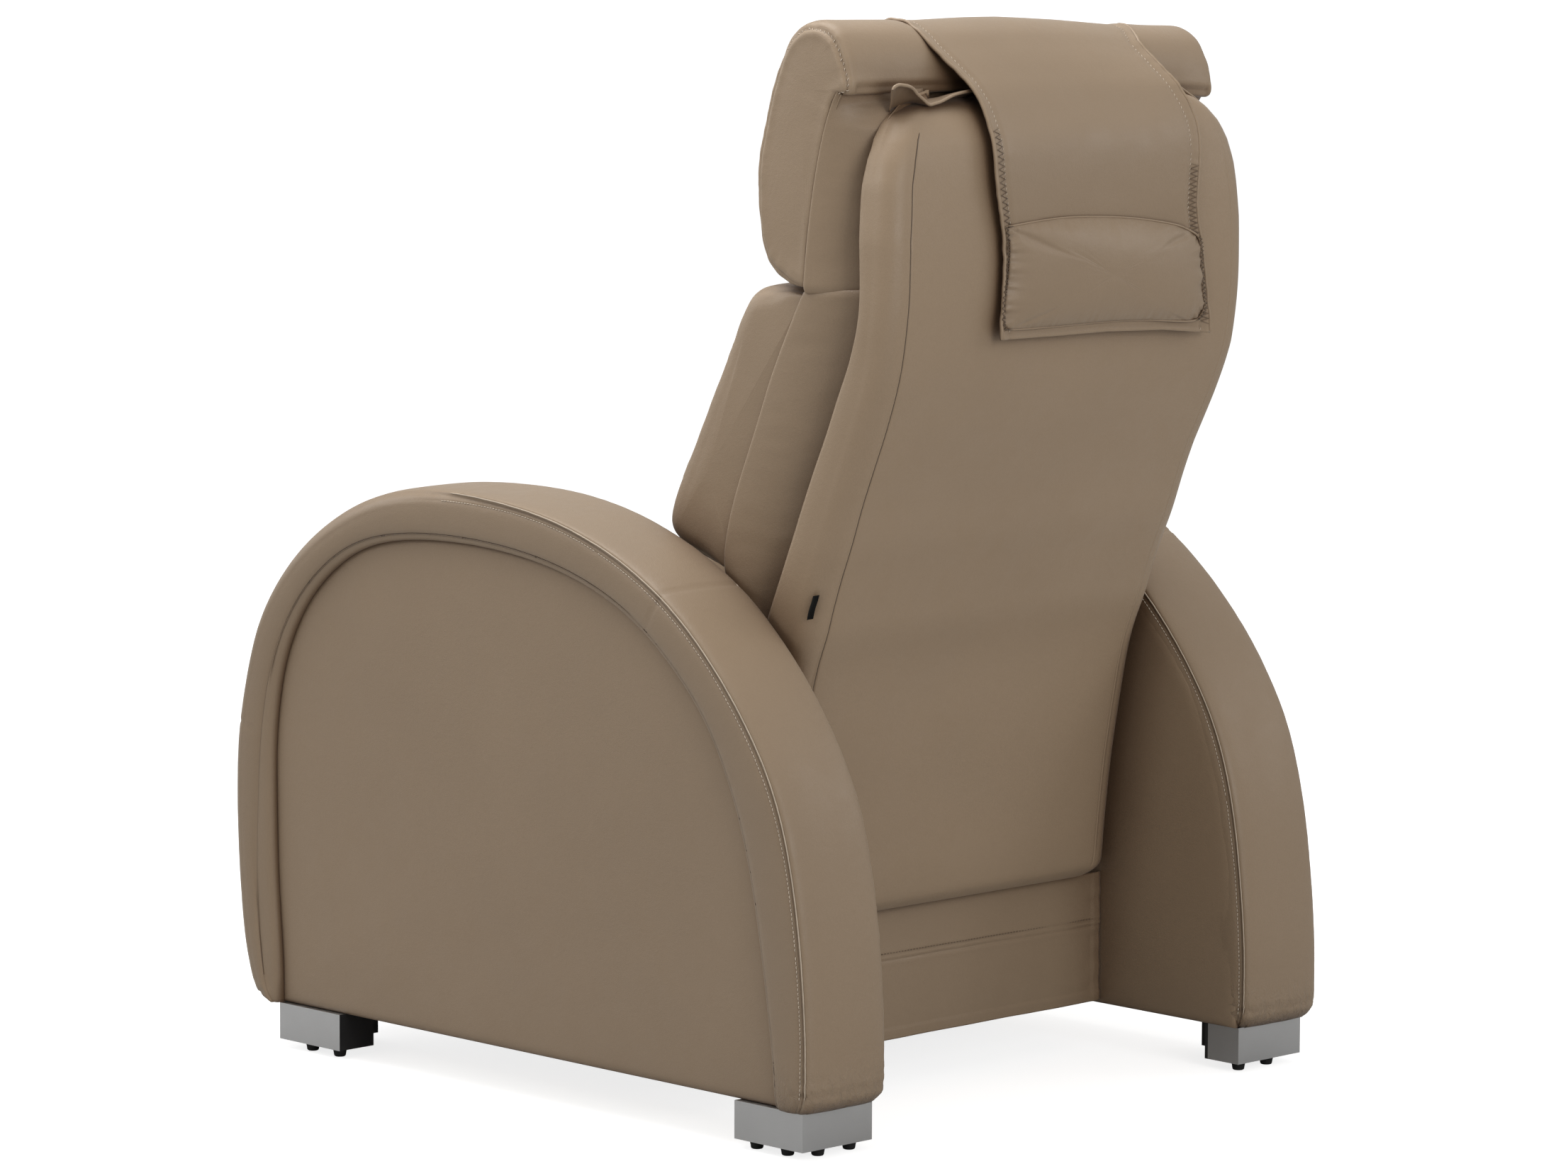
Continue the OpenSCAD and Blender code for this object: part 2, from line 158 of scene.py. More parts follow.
def leather(name, base, warm, rough=0.5, grain=1.0, hem=False):
    """Pigmented leather: fine pebble grain and soft mottling; raised edges lightened, partly wear and partly painted
    highlight; creases and recesses darkened as painted shade.
    """
    n = Nodes(name)
    big = n.noise(3.2, 4.0, 0.5)
    med = n.noise(26.0, 5.0, 0.6, 0.4)
    tiny = n.noise(420.0, 2.0, 0.6)
    c0 = tuple(v * 0.955 for v in base)
    c1 = tuple(v * 1.035 for v in base)
    r = n.ramp(big, "Fac", [(0.30, c0), (0.5, base), (0.72, c1)])
    r2 = n.mix((n.maprange(med, "Fac", 0.35, 0.72, 0.0, 0.18), "Result"), (r, "Color"), warm)
    r3 = n.mix((n.maprange(tiny, "Fac", 0.3, 0.7, 0.0, 0.16), "Result"), (r2, 2), tuple(v * 0.78 for v in base))
    geo = n.add("ShaderNodeNewGeometry")
    # painted highlight, partly wear: convex edges found by pointiness are lightened towards 1.28 times the base colour
    hi = n.maprange(geo, "Pointiness", 0.512, 0.60, 0.0, 0.55)
    # painted shade: concave creases found by pointiness are darkened towards half the base colour
    lo = n.maprange(geo, "Pointiness", 0.487, 0.42, 0.0, 0.75)
    r4 = n.mix((hi, "Result"), (r3, 2), tuple(min(1, v * 1.28) for v in base))
    r5 = n.mix((lo, "Result"), (r4, 2), tuple(v * 0.5 for v in base))
    # painted shade: ambient occlusion darkens the leather towards a deep brown in creases, recesses and where parts
    # meet
    ao = n.add("ShaderNodeAmbientOcclusion", samples=6)
    ao.inputs["Distance"].default_value = 0.085
    shade = n.maprange(ao, "AO", 0.34, 0.86, 0.86, 0.0)
    r6 = n.mix((shade, "Result"), (r5, 2), tuple(v * k for v, k in zip(base, (0.34, 0.235, 0.155))))
    n.link(r6, 2, n.b, "Base Color")
    rg = n.maprange(med, "Fac", 0.3, 0.75, rough - 0.07, rough + 0.09)
    n.link(rg, "Result", n.b, "Roughness")
    n.b.inputs["Specular IOR Level"].default_value = 0.36
    n.b.inputs["Sheen Weight"].default_value = 0.08
    n.b.inputs["Sheen Roughness"].default_value = 0.5
    vor = n.add("ShaderNodeTexVoronoi", feature="DISTANCE_TO_EDGE")
    vor.inputs["Scale"].default_value = 520.0
    n.coords(vor)
    vr = n.maprange(vor, "Distance", 0.0, 0.34, 0.0, 1.0)
    v2 = n.add("ShaderNodeTexVoronoi", feature="F1")
    v2.inputs["Scale"].default_value = 230.0
    n.coords(v2)
    b1 = n.bump(n.noise(48.0, 4.0, 0.6, 0.6), "Fac", 0.15 * grain, 0.0010)
    b2 = n.bump(v2, "Distance", 0.14 * grain, 0.0006, b1)
    b3 = n.bump(vr, "Result", 0.20 * grain, 0.00035, b2)
    if hem:
        sep = n.add("ShaderNodeSeparateXYZ")
        n.link(n.tc, "Object", sep, "Vector")
        mz = n.maprange(sep, "Z", 0.050, 0.112, 1.0, 0.0)
        my = n.maprange(sep, "Y", 0.33, 0.40, 0.0, 1.0)
        mm = n.add("ShaderNodeMath", operation="MULTIPLY")
        n.link(mz, "Result", mm, 0)
        n.link(my, "Result", mm, 1)
        hm = n.add("ShaderNodeMath", operation="MULTIPLY")
        n.link(n.noise(120.0, 4.0, 0.66, 1.2, (1, 1, 0.55)), "Fac", hm, 0)
        n.link(mm, 0, hm, 1)
        b3 = n.bump(hm, 0, 0.75, 0.006, b3)
    n.link(b3, "Normal", n.b, "Normal")
    return n.m


def metal(name, base, rough, brushed=(1, 1, 40), metallic=1.0):
    n = Nodes(name)
    a = n.noise(60.0, 4.0, 0.6, 0.0, brushed)
    b = n.noise(7.0, 3.0)
    r = n.ramp(b, "Fac", [(0.3, tuple(v * 0.9 for v in base)), (0.7, base)])
    n.link(r, "Color", n.b, "Base Color")
    n.b.inputs["Metallic"].default_value = metallic
    n.link(n.maprange(a, "Fac", 0.3, 0.7, rough - 0.06, rough + 0.08), "Result", n.b, "Roughness")
    n.link(n.bump(a, "Fac", 0.10, 0.0003), "Normal", n.b, "Normal")
    return n.m


def plastic(name, base, rough, bump=0.12):
    n = Nodes(name)
    a = n.noise(900.0, 2.0, 0.5)
    b = n.noise(12.0, 4.0, 0.6)
    r = n.ramp(b, "Fac", [(0.3, tuple(v * 0.86 for v in base)), (0.72, tuple(min(1, v * 1.12) for v in base))])
    n.link(r, "Color", n.b, "Base Color")
    n.link(n.maprange(b, "Fac", 0.3, 0.7, rough - 0.05, rough + 0.07), "Result", n.b, "Roughness")
    n.b.inputs["Specular IOR Level"].default_value = 0.42
    n.link(n.bump(a, "Fac", bump, 0.0003), "Normal", n.b, "Normal")
    return n.m


def wood(name):
    n = Nodes(name)
    g = n.noise(9.0, 6.0, 0.62, 1.2, (1, 1, 14))
    f = n.noise(160.0, 3.0, 0.6, 0.0, (1, 1, 10))
    r = n.ramp(g, "Fac", [(0.3, (0.42, 0.27, 0.13)), (0.52, (0.56, 0.39, 0.21)), (0.72, (0.66, 0.49, 0.29))])
    r2 = n.mix((n.maprange(f, "Fac", 0.4, 0.7, 0, 0.35), "Result"), (r, "Color"), (0.30, 0.18, 0.08))
    n.link(r2, 2, n.b, "Base Color")
    n.b.inputs["Roughness"].default_value = 0.62
    n.link(n.bump(f, "Fac", 0.18, 0.0004), "Normal", n.b, "Normal")
    return n.m


def weave(name, base, scale=1400.0, rough=0.85, sheen=0.15, spec=0.5):
    """Close plain weave from two crossed wave textures."""
    n = Nodes(name)
    wx = n.add("ShaderNodeTexWave", wave_type="BANDS", bands_direction="X")
    wy = n.add("ShaderNodeTexWave", wave_type="BANDS", bands_direction="DIAGONAL")
    for w in (wx, wy):
        w.inputs["Scale"].default_value = scale / 3
        w.inputs["Distortion"].default_value = 0.6
        n.coords(w)
    m = n.mix(0.5, (wx, "Color"), (wy, "Color"), "MULTIPLY")
    big = n.noise(14.0, 4.0)
    r = n.ramp(big, "Fac", [(0.3, tuple(v * 0.8 for v in base)), (0.7, base)])
    n.link(r, "Color", n.b, "Base Color")
    n.b.inputs["Roughness"].default_value = rough
    n.b.inputs["Sheen Weight"].default_value = sheen
    n.b.inputs["Specular IOR Level"].default_value = spec
    n.link(n.bump(m, 2, 0.3, 0.0004), "Normal", n.b, "Normal")
    return n.m


def thread_mat(name, base):
    n = Nodes(name)
    w = n.add("ShaderNodeTexWave", wave_type="BANDS", bands_direction="DIAGONAL")
    w.inputs["Scale"].default_value = 900.0
    n.coords(w)
    a = n.noise(90.0, 2.0)
    r = n.ramp(a, "Fac", [(0.3, tuple(v * 0.82 for v in base)), (0.7, base)])
    n.link(r, "Color", n.b, "Base Color")
    n.b.inputs["Roughness"].default_value = 0.6
    n.link(n.bump(w, "Fac", 0.3, 0.0002), "Normal", n.b, "Normal")
    return n.m


def foot_metal(name, base, rough):
    """Satin metal whose rearward end is a black moulded plug."""
    n = Nodes(name)
    a = n.noise(60.0, 4.0, 0.6, 0.0, (1, 1, 30))
    b = n.noise(7.0, 3.0)
    r = n.ramp(b, "Fac", [(0.3, tuple(v * 0.9 for v in base)), (0.7, base)])
    geo = n.add("ShaderNodeNewGeometry")
    sep = n.add("ShaderNodeSeparateXYZ")
    n.link(geo, "Normal", sep, "Vector")
    k = n.maprange(sep, "Y", 0.78, 0.82, 0.0, 1.0)
    n.link(n.mix((k, "Result"), (r, "Color"), (0.014, 0.014, 0.015)), 2, n.b, "Base Color")
    n.link(n.maprange(sep, "Y", 0.78, 0.82, 1.0, 0.0), "Result", n.b, "Metallic")
    n.link(n.maprange(a, "Fac", 0.3, 0.7, rough - 0.06, rough + 0.08), "Result", n.b, "Roughness")
    n.link(n.bump(a, "Fac", 0.10, 0.0003), "Normal", n.b, "Normal")
    return n.m


TAN = (0.290, 0.212, 0.141)
M = {
    "leather": leather("mat_leather", TAN, (0.272, 0.192, 0.118), 0.45),
    # painted shade: the arm band takes the same leather painted 7% darker
    "leather_arm": leather("mat_leather_arm_shaded", tuple(v * 0.93 for v in TAN), (0.250, 0.178, 0.112), 0.45, 1.0, True),
    # painted light: the back shell takes the same leather painted 8% lighter
    "leather_shell": leather("mat_leather_shell_lit", tuple(v * 1.08 for v in TAN), (0.292, 0.206, 0.127), 0.45),
    "leather_soft": leather("mat_leather_strap", tuple(v * 0.97 for v in TAN), (0.270, 0.196, 0.126), 0.42, 0.8),
    "aluminium": metal("mat_satin_aluminium", (0.59, 0.595, 0.60), 0.38, (1, 1, 30)),
    "front_foot": foot_metal("mat_front_foot", (0.59, 0.595, 0.60), 0.38),
    "steel": metal("mat_bright_steel", (0.62, 0.62, 0.63), 0.26, (30, 1, 1)),
    "painted": metal("mat_frame_steel", (0.11, 0.115, 0.12), 0.46, (1, 1, 4), 0.35),
    "spring": metal("mat_spring_steel", (0.30, 0.30, 0.31), 0.34, (1, 20, 1)),
    "black": plastic("mat_black_plastic", (0.018, 0.018, 0.019), 0.42),
    "rubber": plastic("mat_stud_rubber", (0.012, 0.012, 0.012), 0.72, 0.25),
    "grey": plastic("mat_carriage_plastic", (0.075, 0.078, 0.082), 0.46),
    "roller": plastic("mat_roller_plastic", (0.55, 0.49, 0.40), 0.40),
    "button": plastic("mat_button_plastic", (0.58, 0.57, 0.55), 0.36),
    "wood": wood("mat_plywood"),
    "cloth": weave("mat_black_cloth", (0.020, 0.020, 0.021)),
    "label": weave("mat_label_fabric", (0.006, 0.006, 0.006), 2400.0, 0.8, 0.0, 0.15),
    "thread": thread_mat("mat_thread", (0.62, 0.525, 0.42)),
    # painted highlight: light colour of the cord on the arm band's folded crown edge
    "piping_highlight": thread_mat("mat_edge_piping_highlight", (0.54, 0.45, 0.35)),
    # painted shade: dark cord colour standing for the shade in seam creases
    "crease_shade": thread_mat("mat_seam_crease_shade", (0.108, 0.077, 0.051)),
    "thread_dark": thread_mat("mat_thread_dark", (0.155, 0.112, 0.078)),
}


# ------------------------------------------------------------------ geometry helpers
def spl(p, n):
    p = np.array(p, float)
    m = len(p)
    out = []
    for i in range(m - 1):
        a, b, c, d = p[max(i - 1, 0)], p[i], p[i + 1], p[min(i + 2, m - 1)]
        for k in range(n):
            t = k / n
            out.append(0.5 * ((2 * b) + (c - a) * t + (2 * a - 5 * b + 4 * c - d) * t * t + (3 * b - a - 3 * c + d) * t ** 3))
    out.append(p[-1])
    return np.array(out)


def resample(p, n, closed=False):
    p = np.array(p, float)
    if closed:
        p = np.vstack([p, p[:1]])
    d = np.r_[0, np.cumsum(np.linalg.norm(np.diff(p, axis=0), axis=1))]
    t = np.linspace(0, d[-1], n + 1)[:-1] if closed else np.linspace(0, d[-1], n)
    return np.stack([np.interp(t, d, p[:, k]) for k in range(p.shape[1])], 1)


def length(p):
    return float(np.linalg.norm(np.diff(np.array(p), axis=0), axis=1).sum())


def normals2(p, closed=False):
    """Left-hand normals of a polyline."""
    if closed:
        t = np.roll(p, -1, 0) - np.roll(p, 1, 0)
    else:
        t = np.gradient(p, axis=0)
    t = t / np.linalg.norm(t, axis=1)[:, None]
    return np.stack([-t[:, 1], t[:, 0]], 1)


def smooth01(x):
    x = np.clip(x, 0, 1)
    return x * x * (3 - 2 * x)


GRAD = np.random.RandomState(11).normal(size=(4096, 3))
GRAD /= np.linalg.norm(GRAD, axis=1)[:, None]


def lump(p, scale, seed=0.0):
    """Smooth gradient noise of points (mm), about -1 to 1."""
    shape = np.asarray(p).shape[:-1]
    q = np.asarray(p, float).reshape(-1, 3) / scale + seed * 1.37
    i0 = np.floor(q).astype(np.int64)
    f = q - i0
    u = f * f * f * (f * (f * 6 - 15) + 10)
    out = np.zeros(len(q))
    for dx in (0, 1):
        for dy in (0, 1):
            for dz in (0, 1):
                c = i0 + np.array([dx, dy, dz])
                h = (c[:, 0] * 73856093 ^ c[:, 1] * 19349663 ^ c[:, 2] * 83492791) & 4095
                g = GRAD[h]
                w = (u[:, 0] if dx else 1 - u[:, 0]) * (u[:, 1] if dy else 1 - u[:, 1]) * (u[:, 2] if dz else 1 - u[:, 2])
                out += w * ((f - np.array([dx, dy, dz])) * g).sum(1)
    return (out * 1.55).reshape(shape)


def lump1(v, scale, seed=0.0):
    v = np.asarray(v, float)
    return lump(np.stack([v, np.full_like(v, seed * 3.1), np.full_like(v, 0.37)], -1), scale, 0.0)


def W(p):
    """mm in the design frame to metres in the model frame."""
    p = np.array(p, float).copy()
    p[..., 1] += SY
    return p / 1000.0


def grid_faces(nu, nv, cu=False, cv=False, off=0):
    f = []
    for i in range(nu if cu else nu - 1):
        i2 = (i + 1) % nu
        for j in range(nv if cv else nv - 1):
            j2 = (j + 1) % nv
            f.append((off + i * nv + j, off + i * nv + j2, off + i2 * nv + j2, off + i2 * nv + j))
    return f


def make(name, verts, faces, mat, flat=False, fix=True):
    me = bpy.data.meshes.new(name)
    me.from_pydata([tuple(map(float, v)) for v in verts], [], faces)
    me.validate()
    if fix:
        bm = bmesh.new()
        bm.from_mesh(me)
        bmesh.ops.remove_doubles(bm, verts=bm.verts, dist=1e-6)
        bmesh.ops.recalc_face_normals(bm, faces=bm.faces)
        bm.to_mesh(me)
        bm.free()
    me.materials.append(M[mat])
    if not flat:
        me.shade_smooth()
    me.update()
    o = bpy.data.objects.new(name, me)
    SC.collection.objects.link(o)
    return o


def apply_mods(o):
    dg = bpy.context.evaluated_depsgraph_get()
    dg.update()
    e = o.evaluated_get(dg)
    me = bpy.data.meshes.new_from_object(e, preserve_all_data_layers=True, depsgraph=dg)
    mats = [s.material for s in o.material_slots]
    o.modifiers.clear()
    o.data = me
    o.data.materials.clear()
    for m in mats:
        o.data.materials.append(m)
    return o


def coords(o):
    c = np.zeros(len(o.data.vertices) * 3)
    o.data.vertices.foreach_get("co", c)
    return c.reshape(-1, 3)


def set_coords(o, c):
    o.data.vertices.foreach_set("co", np.asarray(c, float).ravel())
    o.data.update()


def vnormals(o):
    n = np.zeros(len(o.data.vertices) * 3)
    o.data.vertices.foreach_get("normal", n)
    return n.reshape(-1, 3)


def subdiv(o, levels=1):
    m = o.modifiers.new("s", "SUBSURF")
    m.levels = m.render_levels = levels
    return apply_mods(o)


def dist_to(path, pts):
    """Distance of each point to a polyline, and where along it (0 to its length)."""
    path = np.asarray(path)
    best = np.full(len(pts), 1e9)
    where = np.zeros(len(pts))
    run = 0.0
    for a, b in zip(path[:-1], path[1:]):
        ab = b - a
        L = float(np.dot(ab, ab))
        if L < 1e-14:
            continue
        t = np.clip((pts - a) @ ab / L, 0, 1)
        d = np.linalg.norm(pts - (a + t[:, None] * ab), axis=1)
        near = d < best
        best[near] = d[near]
        where[near] = run + t[near] * math.sqrt(L)
        run += math.sqrt(L)
    return best, where


def near_path(path, c, far):
    """Indices of the points within about far of a path, by a coarse grid."""
    cell = max(far, 0.006)
    L = np.r_[0, np.cumsum(np.linalg.norm(np.diff(path, axis=0), axis=1))]
    t = np.linspace(0, L[-1], max(2, int(L[-1] / (cell * 0.5)) + 2))
    q = np.stack([np.interp(t, L, path[:, k]) for k in range(3)], 1)
    cells = set()
    for v in np.floor(q / cell).astype(int):
        for a in (-1, 0, 1):
            for b in (-1, 0, 1):
                for d in (-1, 0, 1):
                    cells.add((v[0] + a, v[1] + b, v[2] + d))
    key = lambda v: (v[..., 0] + 4000) * 100000000 + (v[..., 1] + 4000) * 10000 + (v[..., 2] + 4000)
    keys = np.array(sorted({int(key(np.array(v, dtype=np.int64))) for v in cells}), dtype=np.int64)
    k = key(np.floor(c / cell).astype(np.int64))
    return np.where(np.isin(k, keys))[0]


def groove(o, path, depth=0.0018, width=0.0032, puff=0.0, pucker=0.0, wave=0.014, reach=0.02, seed=0.0):
    """A sewn line in o along path (m): a valley, with gathers running away from it."""
    c = coords(o)
    n = vnormals(o)
    path = np.asarray(path)
    far = 3.2 * max(width * 1.6, reach * 0.8 if pucker else 0.0)
    idx = near_path(path, c, far)
    if not len(idx):
        return
    d, s = dist_to(path, c[idx])
    h = -depth * np.exp(-(d / width) ** 2)
    if puff:
        h += puff * np.exp(-((d - 2.6 * width) / (1.5 * width)) ** 2)
    if pucker:
        g = lump1(s, wave, seed)
        g2 = lump1(s, wave / 2.3, seed + 5)
        h += pucker * (g + 0.5 * g2) * np.exp(-d / (reach * 0.45)) * (1 - np.exp(-(d / (0.6 * width)) ** 2))
    c[idx] += n[idx] * h[:, None]
    set_coords(o, c)


def project_path(o, path, lift=0.0):
    """Puts a path on o's surface; gives points and surface normals."""
    dg = bpy.context.evaluated_depsgraph_get()
    dg.update()
    from mathutils.bvhtree import BVHTree
    bm = bmesh.new()
    bm.from_mesh(o.data)
    tree = BVHTree.FromBMesh(bm)
    bm.free()
    P, N = [], []
    for p in path:
        hit, nor, _, _ = tree.find_nearest(Vector(p))
        if hit is None:
            hit, nor = Vector(p), Vector((0, 0, 1))
        P.append(hit + nor * lift)
        N.append(nor)
    return np.array(P), np.array(N)


def stitches(name, path, nor, body, mat="thread", pitch=0.0042, share=0.62, r=0.00042, lift=0.0002, slant=0.0, skip=0.0, parent=None):
    """A row of short thread stitches lying on a surface, each a small bowed strand."""
    path, nor = np.asarray(path, float), np.asarray(nor, float)
    d = np.r_[0, np.cumsum(np.linalg.norm(np.diff(path, axis=0), axis=1))]
    count = int(d[-1] / pitch)
    V, F = [], []
    sides, segs = 5, 5
    rng = np.random.RandomState(abs(hash_name(name)) % 10000)

    def at(s):
        p = np.array([np.interp(s, d, path[:, k]) for k in range(3)])
        q = np.array([np.interp(s, d, nor[:, k]) for k in range(3)])
        return p, q / (np.linalg.norm(q) + 1e-12)
    for i in range(count):
        if rng.rand() < skip:
            continue
        s0 = (i + 0.5 - share / 2) * pitch
        s1 = (i + 0.5 + share / 2) * pitch
        pts = []
        for k in range(segs):
            t = k / (segs - 1)
            p, q = at(s0 + (s1 - s0) * t)
            p1, _ = at(min(d[-1], s0 + (s1 - s0) * t + 0.0005))
            tan = p1 - p
            tan = tan / (np.linalg.norm(tan) + 1e-12)
            side = np.cross(tan, q)
            pts.append((p + q * (lift + r * (0.9 * math.sin(math.pi * t) - 0.45)) + side * slant * (t - 0.5) * pitch, q, tan))
        base = len(V)
        for k, (p, q, tan) in enumerate(pts):
            side = np.cross(tan, q)
            rr = r * (0.55 + 0.45 * math.sin(math.pi * min(1, max(0, k / (segs - 1)))))
            for a in range(sides):
                ang = 2 * math.pi * a / sides
                V.append(p + rr * (math.cos(ang) * side + math.sin(ang) * q))
        for k in range(segs - 1):
            for a in range(sides):
                b = (a + 1) % sides
                F.append((base + k * sides + a, base + k * sides + b, base + (k + 1) * sides + b, base + (k + 1) * sides + a))
        F.append(tuple(base + a for a in range(sides))[::-1])
        F.append(tuple(base + (segs - 1) * sides + a for a in range(sides)))
    if not V:
        return None
    o = make(name, V, F, mat, fix=False)
    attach(o, body)
    return o


def hash_name(s):
    h = 7
    for ch in s:
        h = (h * 31 + ord(ch)) % 1000003
    return h


def tube(name, path, r, mat, body, sides=8, taper=True, closed=False):
    path = np.asarray(path, float)
    n = len(path)
    t = (np.roll(path, -1, 0) - np.roll(path, 1, 0)) if closed else np.gradient(path, axis=0)
    t /= np.linalg.norm(t, axis=1)[:, None] + 1e-12
    ref = np.array([0.0, 0.0, 1.0]) if abs(t[0][2]) < 0.9 else np.array([1.0, 0, 0])
    V = []
    u = np.cross(t[0], ref)
    u /= np.linalg.norm(u)
    for i in range(n):
        u = u - t[i] * np.dot(u, t[i])
        u /= np.linalg.norm(u) + 1e-12
        w = np.cross(t[i], u)
        rr = r
        if taper and not closed:
            e = min(i, n - 1 - i)
            rr = r * (0.35 if e == 0 else 0.8 if e == 1 else 1)
        for a in range(sides):
            ang = 2 * math.pi * a / sides
            V.append(path[i] + rr * (math.cos(ang) * u + math.sin(ang) * w))
    F = grid_faces(n, sides, closed, True)
    if not closed:
        F.append(tuple(range(sides)))
        F.append(tuple((n - 1) * sides + a for a in range(sides))[::-1])
    o = make(name, V, F, mat, fix=False)
    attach(o, body)
    return o


def inflate(o, cap, pressure=4.0, frames=20, pins=None, stiff=15.0, seed=0):
    """Cloth simulation with inner pressure; no point moves more than cap (m). Applied."""
    rest = coords(o)
    if pins is not None:
        g = o.vertex_groups.new(name="pin")
        for i, w in enumerate(pins):
            if w > 0:
                g.add([int(i)], float(w), "REPLACE")
    m = o.modifiers.new("Cloth", "CLOTH")
    s = m.settings
    s.quality = 4
    s.use_pressure = True
    s.uniform_pressure_force = pressure
    s.tension_stiffness = s.compression_stiffness = stiff
    s.shear_stiffness = stiff * 0.6
    s.bending_stiffness = 1.5
    s.effector_weights.gravity = 0
    s.mass = 0.3
    s.tension_damping = s.compression_damping = 10
    if pins is not None:
        s.vertex_group_mass = "pin"
    m.collision_settings.use_collision = False
    m.collision_settings.use_self_collision = False
    m.point_cache.frame_start, m.point_cache.frame_end = 1, frames
    for f in range(1, frames + 1):
        SC.frame_set(f)
    dg = bpy.context.evaluated_depsgraph_get()
    e = o.evaluated_get(dg)
    c = np.zeros(len(e.data.vertices) * 3)
    e.data.vertices.foreach_get("co", c)
    c = c.reshape(-1, 3)
    o.modifiers.remove(m)
    if len(c) == len(rest):
        d = c - rest
        L = np.linalg.norm(d, axis=1)
        L[~np.isfinite(L)] = 0
        d[~np.isfinite(d)] = 0
        k = np.where(L > 1e-9, cap * np.tanh(L / cap) / np.maximum(L, 1e-9), 0)
        set_coords(o, rest + d * k[:, None])
    SC.frame_set(1)
    return o


def done(o, body, nodes=()):
    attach(o, body)
    if nodes:
        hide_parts(*nodes)
    return o


# ------------------------------------------------------------------ arms
ARM_O = spl([[-432, 51], [-460, 60], [-474, 85], [-482, 140], [-490, 240], [-491, 310], [-485, 370], [-459, 467], [-434, 510],
             [-396, 555], [-350, 591], [-295, 622], [-234, 643], [-170, 652], [-95, 654], [-20, 650], [50, 639], [116, 620], [168, 598],
             [219, 570], [269, 531], [314, 486], [348, 443], [378, 398], [404, 330], [420, 250], [429, 170], [433, 100], [431, 66], [420, 51]], 10)
ARM_I = spl([[-418, 51], [-420, 110], [-427, 193], [-429, 290], [-429, 344], [-422, 398], [-409, 448], [-381, 499], [-350, 533],
             [-304, 567], [-265, 584], [-211, 595], [-151, 600], [-75, 600], [-6, 594], [57, 583], [119, 564], [169, 540], [208, 513],
             [242, 482], [275, 448], [302, 401], [324, 354], [340, 299], [352, 251], [362, 190], [374, 120], [380, 51]], 10)
# outer half of the band's section: X, share of the band's width, offset from that (mm)
SEC_OUT = [(373, 0, 6), (376, 0, 1.5), (381, 0, -1.5), (386.5, 0, -2.2), (390.3, 0, -1.0), (392.6, 0, 1.4), (393.8, 0, 4.5), (394.4, 0, 8),
           (394.8, 0, 11.2), (394.7, 0, 13.0), (394.1, 0, 13.9), (394.8, 0, 14.9), (395.8, 0, 17), (397.0, .42, 0), (397.5, .50, 0), (397.7, .58, 0), (397.5, .66, 0),
           (397.2, 1, -16.2), (396.9, 1, -14.2), (396.4, 1, -11.8), (395.8, 1, -10.3), (395.3, 1, -9.5), (395.5, 1, -8.9), (395.5, 1, -8.2), (395.3, 1, -7.5),
           (395.0, 1, -6.9), (394.5, 1, -6.2), (394.0, 1, -5.6), (394.4, 1, -5.1), (394.9, 1, -4.5), (395.3, 1, -3.4), (395.6, 1, -2.0), (395.2, 1, -.4), (394.1, 1, 1.2),
           (392.3, 1, 2.7), (389.6, 1, 4.1), (386, 1, 5.3), (381, 1, 6.3), (374.5, 1, 7.2), (366, 1, 7.9), (357, 1, 8.4), (348, 1, 8.6)]
# the same stretch where the crown rolls over softly, with no seam
SEC_SOFT = [(346 + 50.9 * math.cos(v) ** 0.86, -18 + 25.5 * math.sin(v) ** 0.92) for v in np.linspace(0.0, math.pi / 2 - 0.02, 25)]
N_ARM = 430


def eased(p, k=9, times=2):
    """Moving average along an open curve, its ends kept."""
    p = p.copy()
    for _ in range(times):
        q = np.vstack([2 * p[0] - p[k:0:-1], p, 2 * p[-1] - p[-2:-k - 2:-1]])
        w = np.ones(2 * k + 1) / (2 * k + 1)
        p = np.stack([np.convolve(q[:, a], w, "valid") for a in (0, 1)], 1)
    return p


def arm_rails():
    O, I = resample(ARM_O, N_ARM), resample(ARM_I, N_ARM)
    O2, I2 = eased(O), eased(I)
    t = np.linspace(0, 1, N_ARM)
    w = (smooth01(t / 0.05) * smooth01((1 - t) / 0.05))[:, None]
    return O * (1 - w) + O2 * w, I * (1 - w) + I2 * w


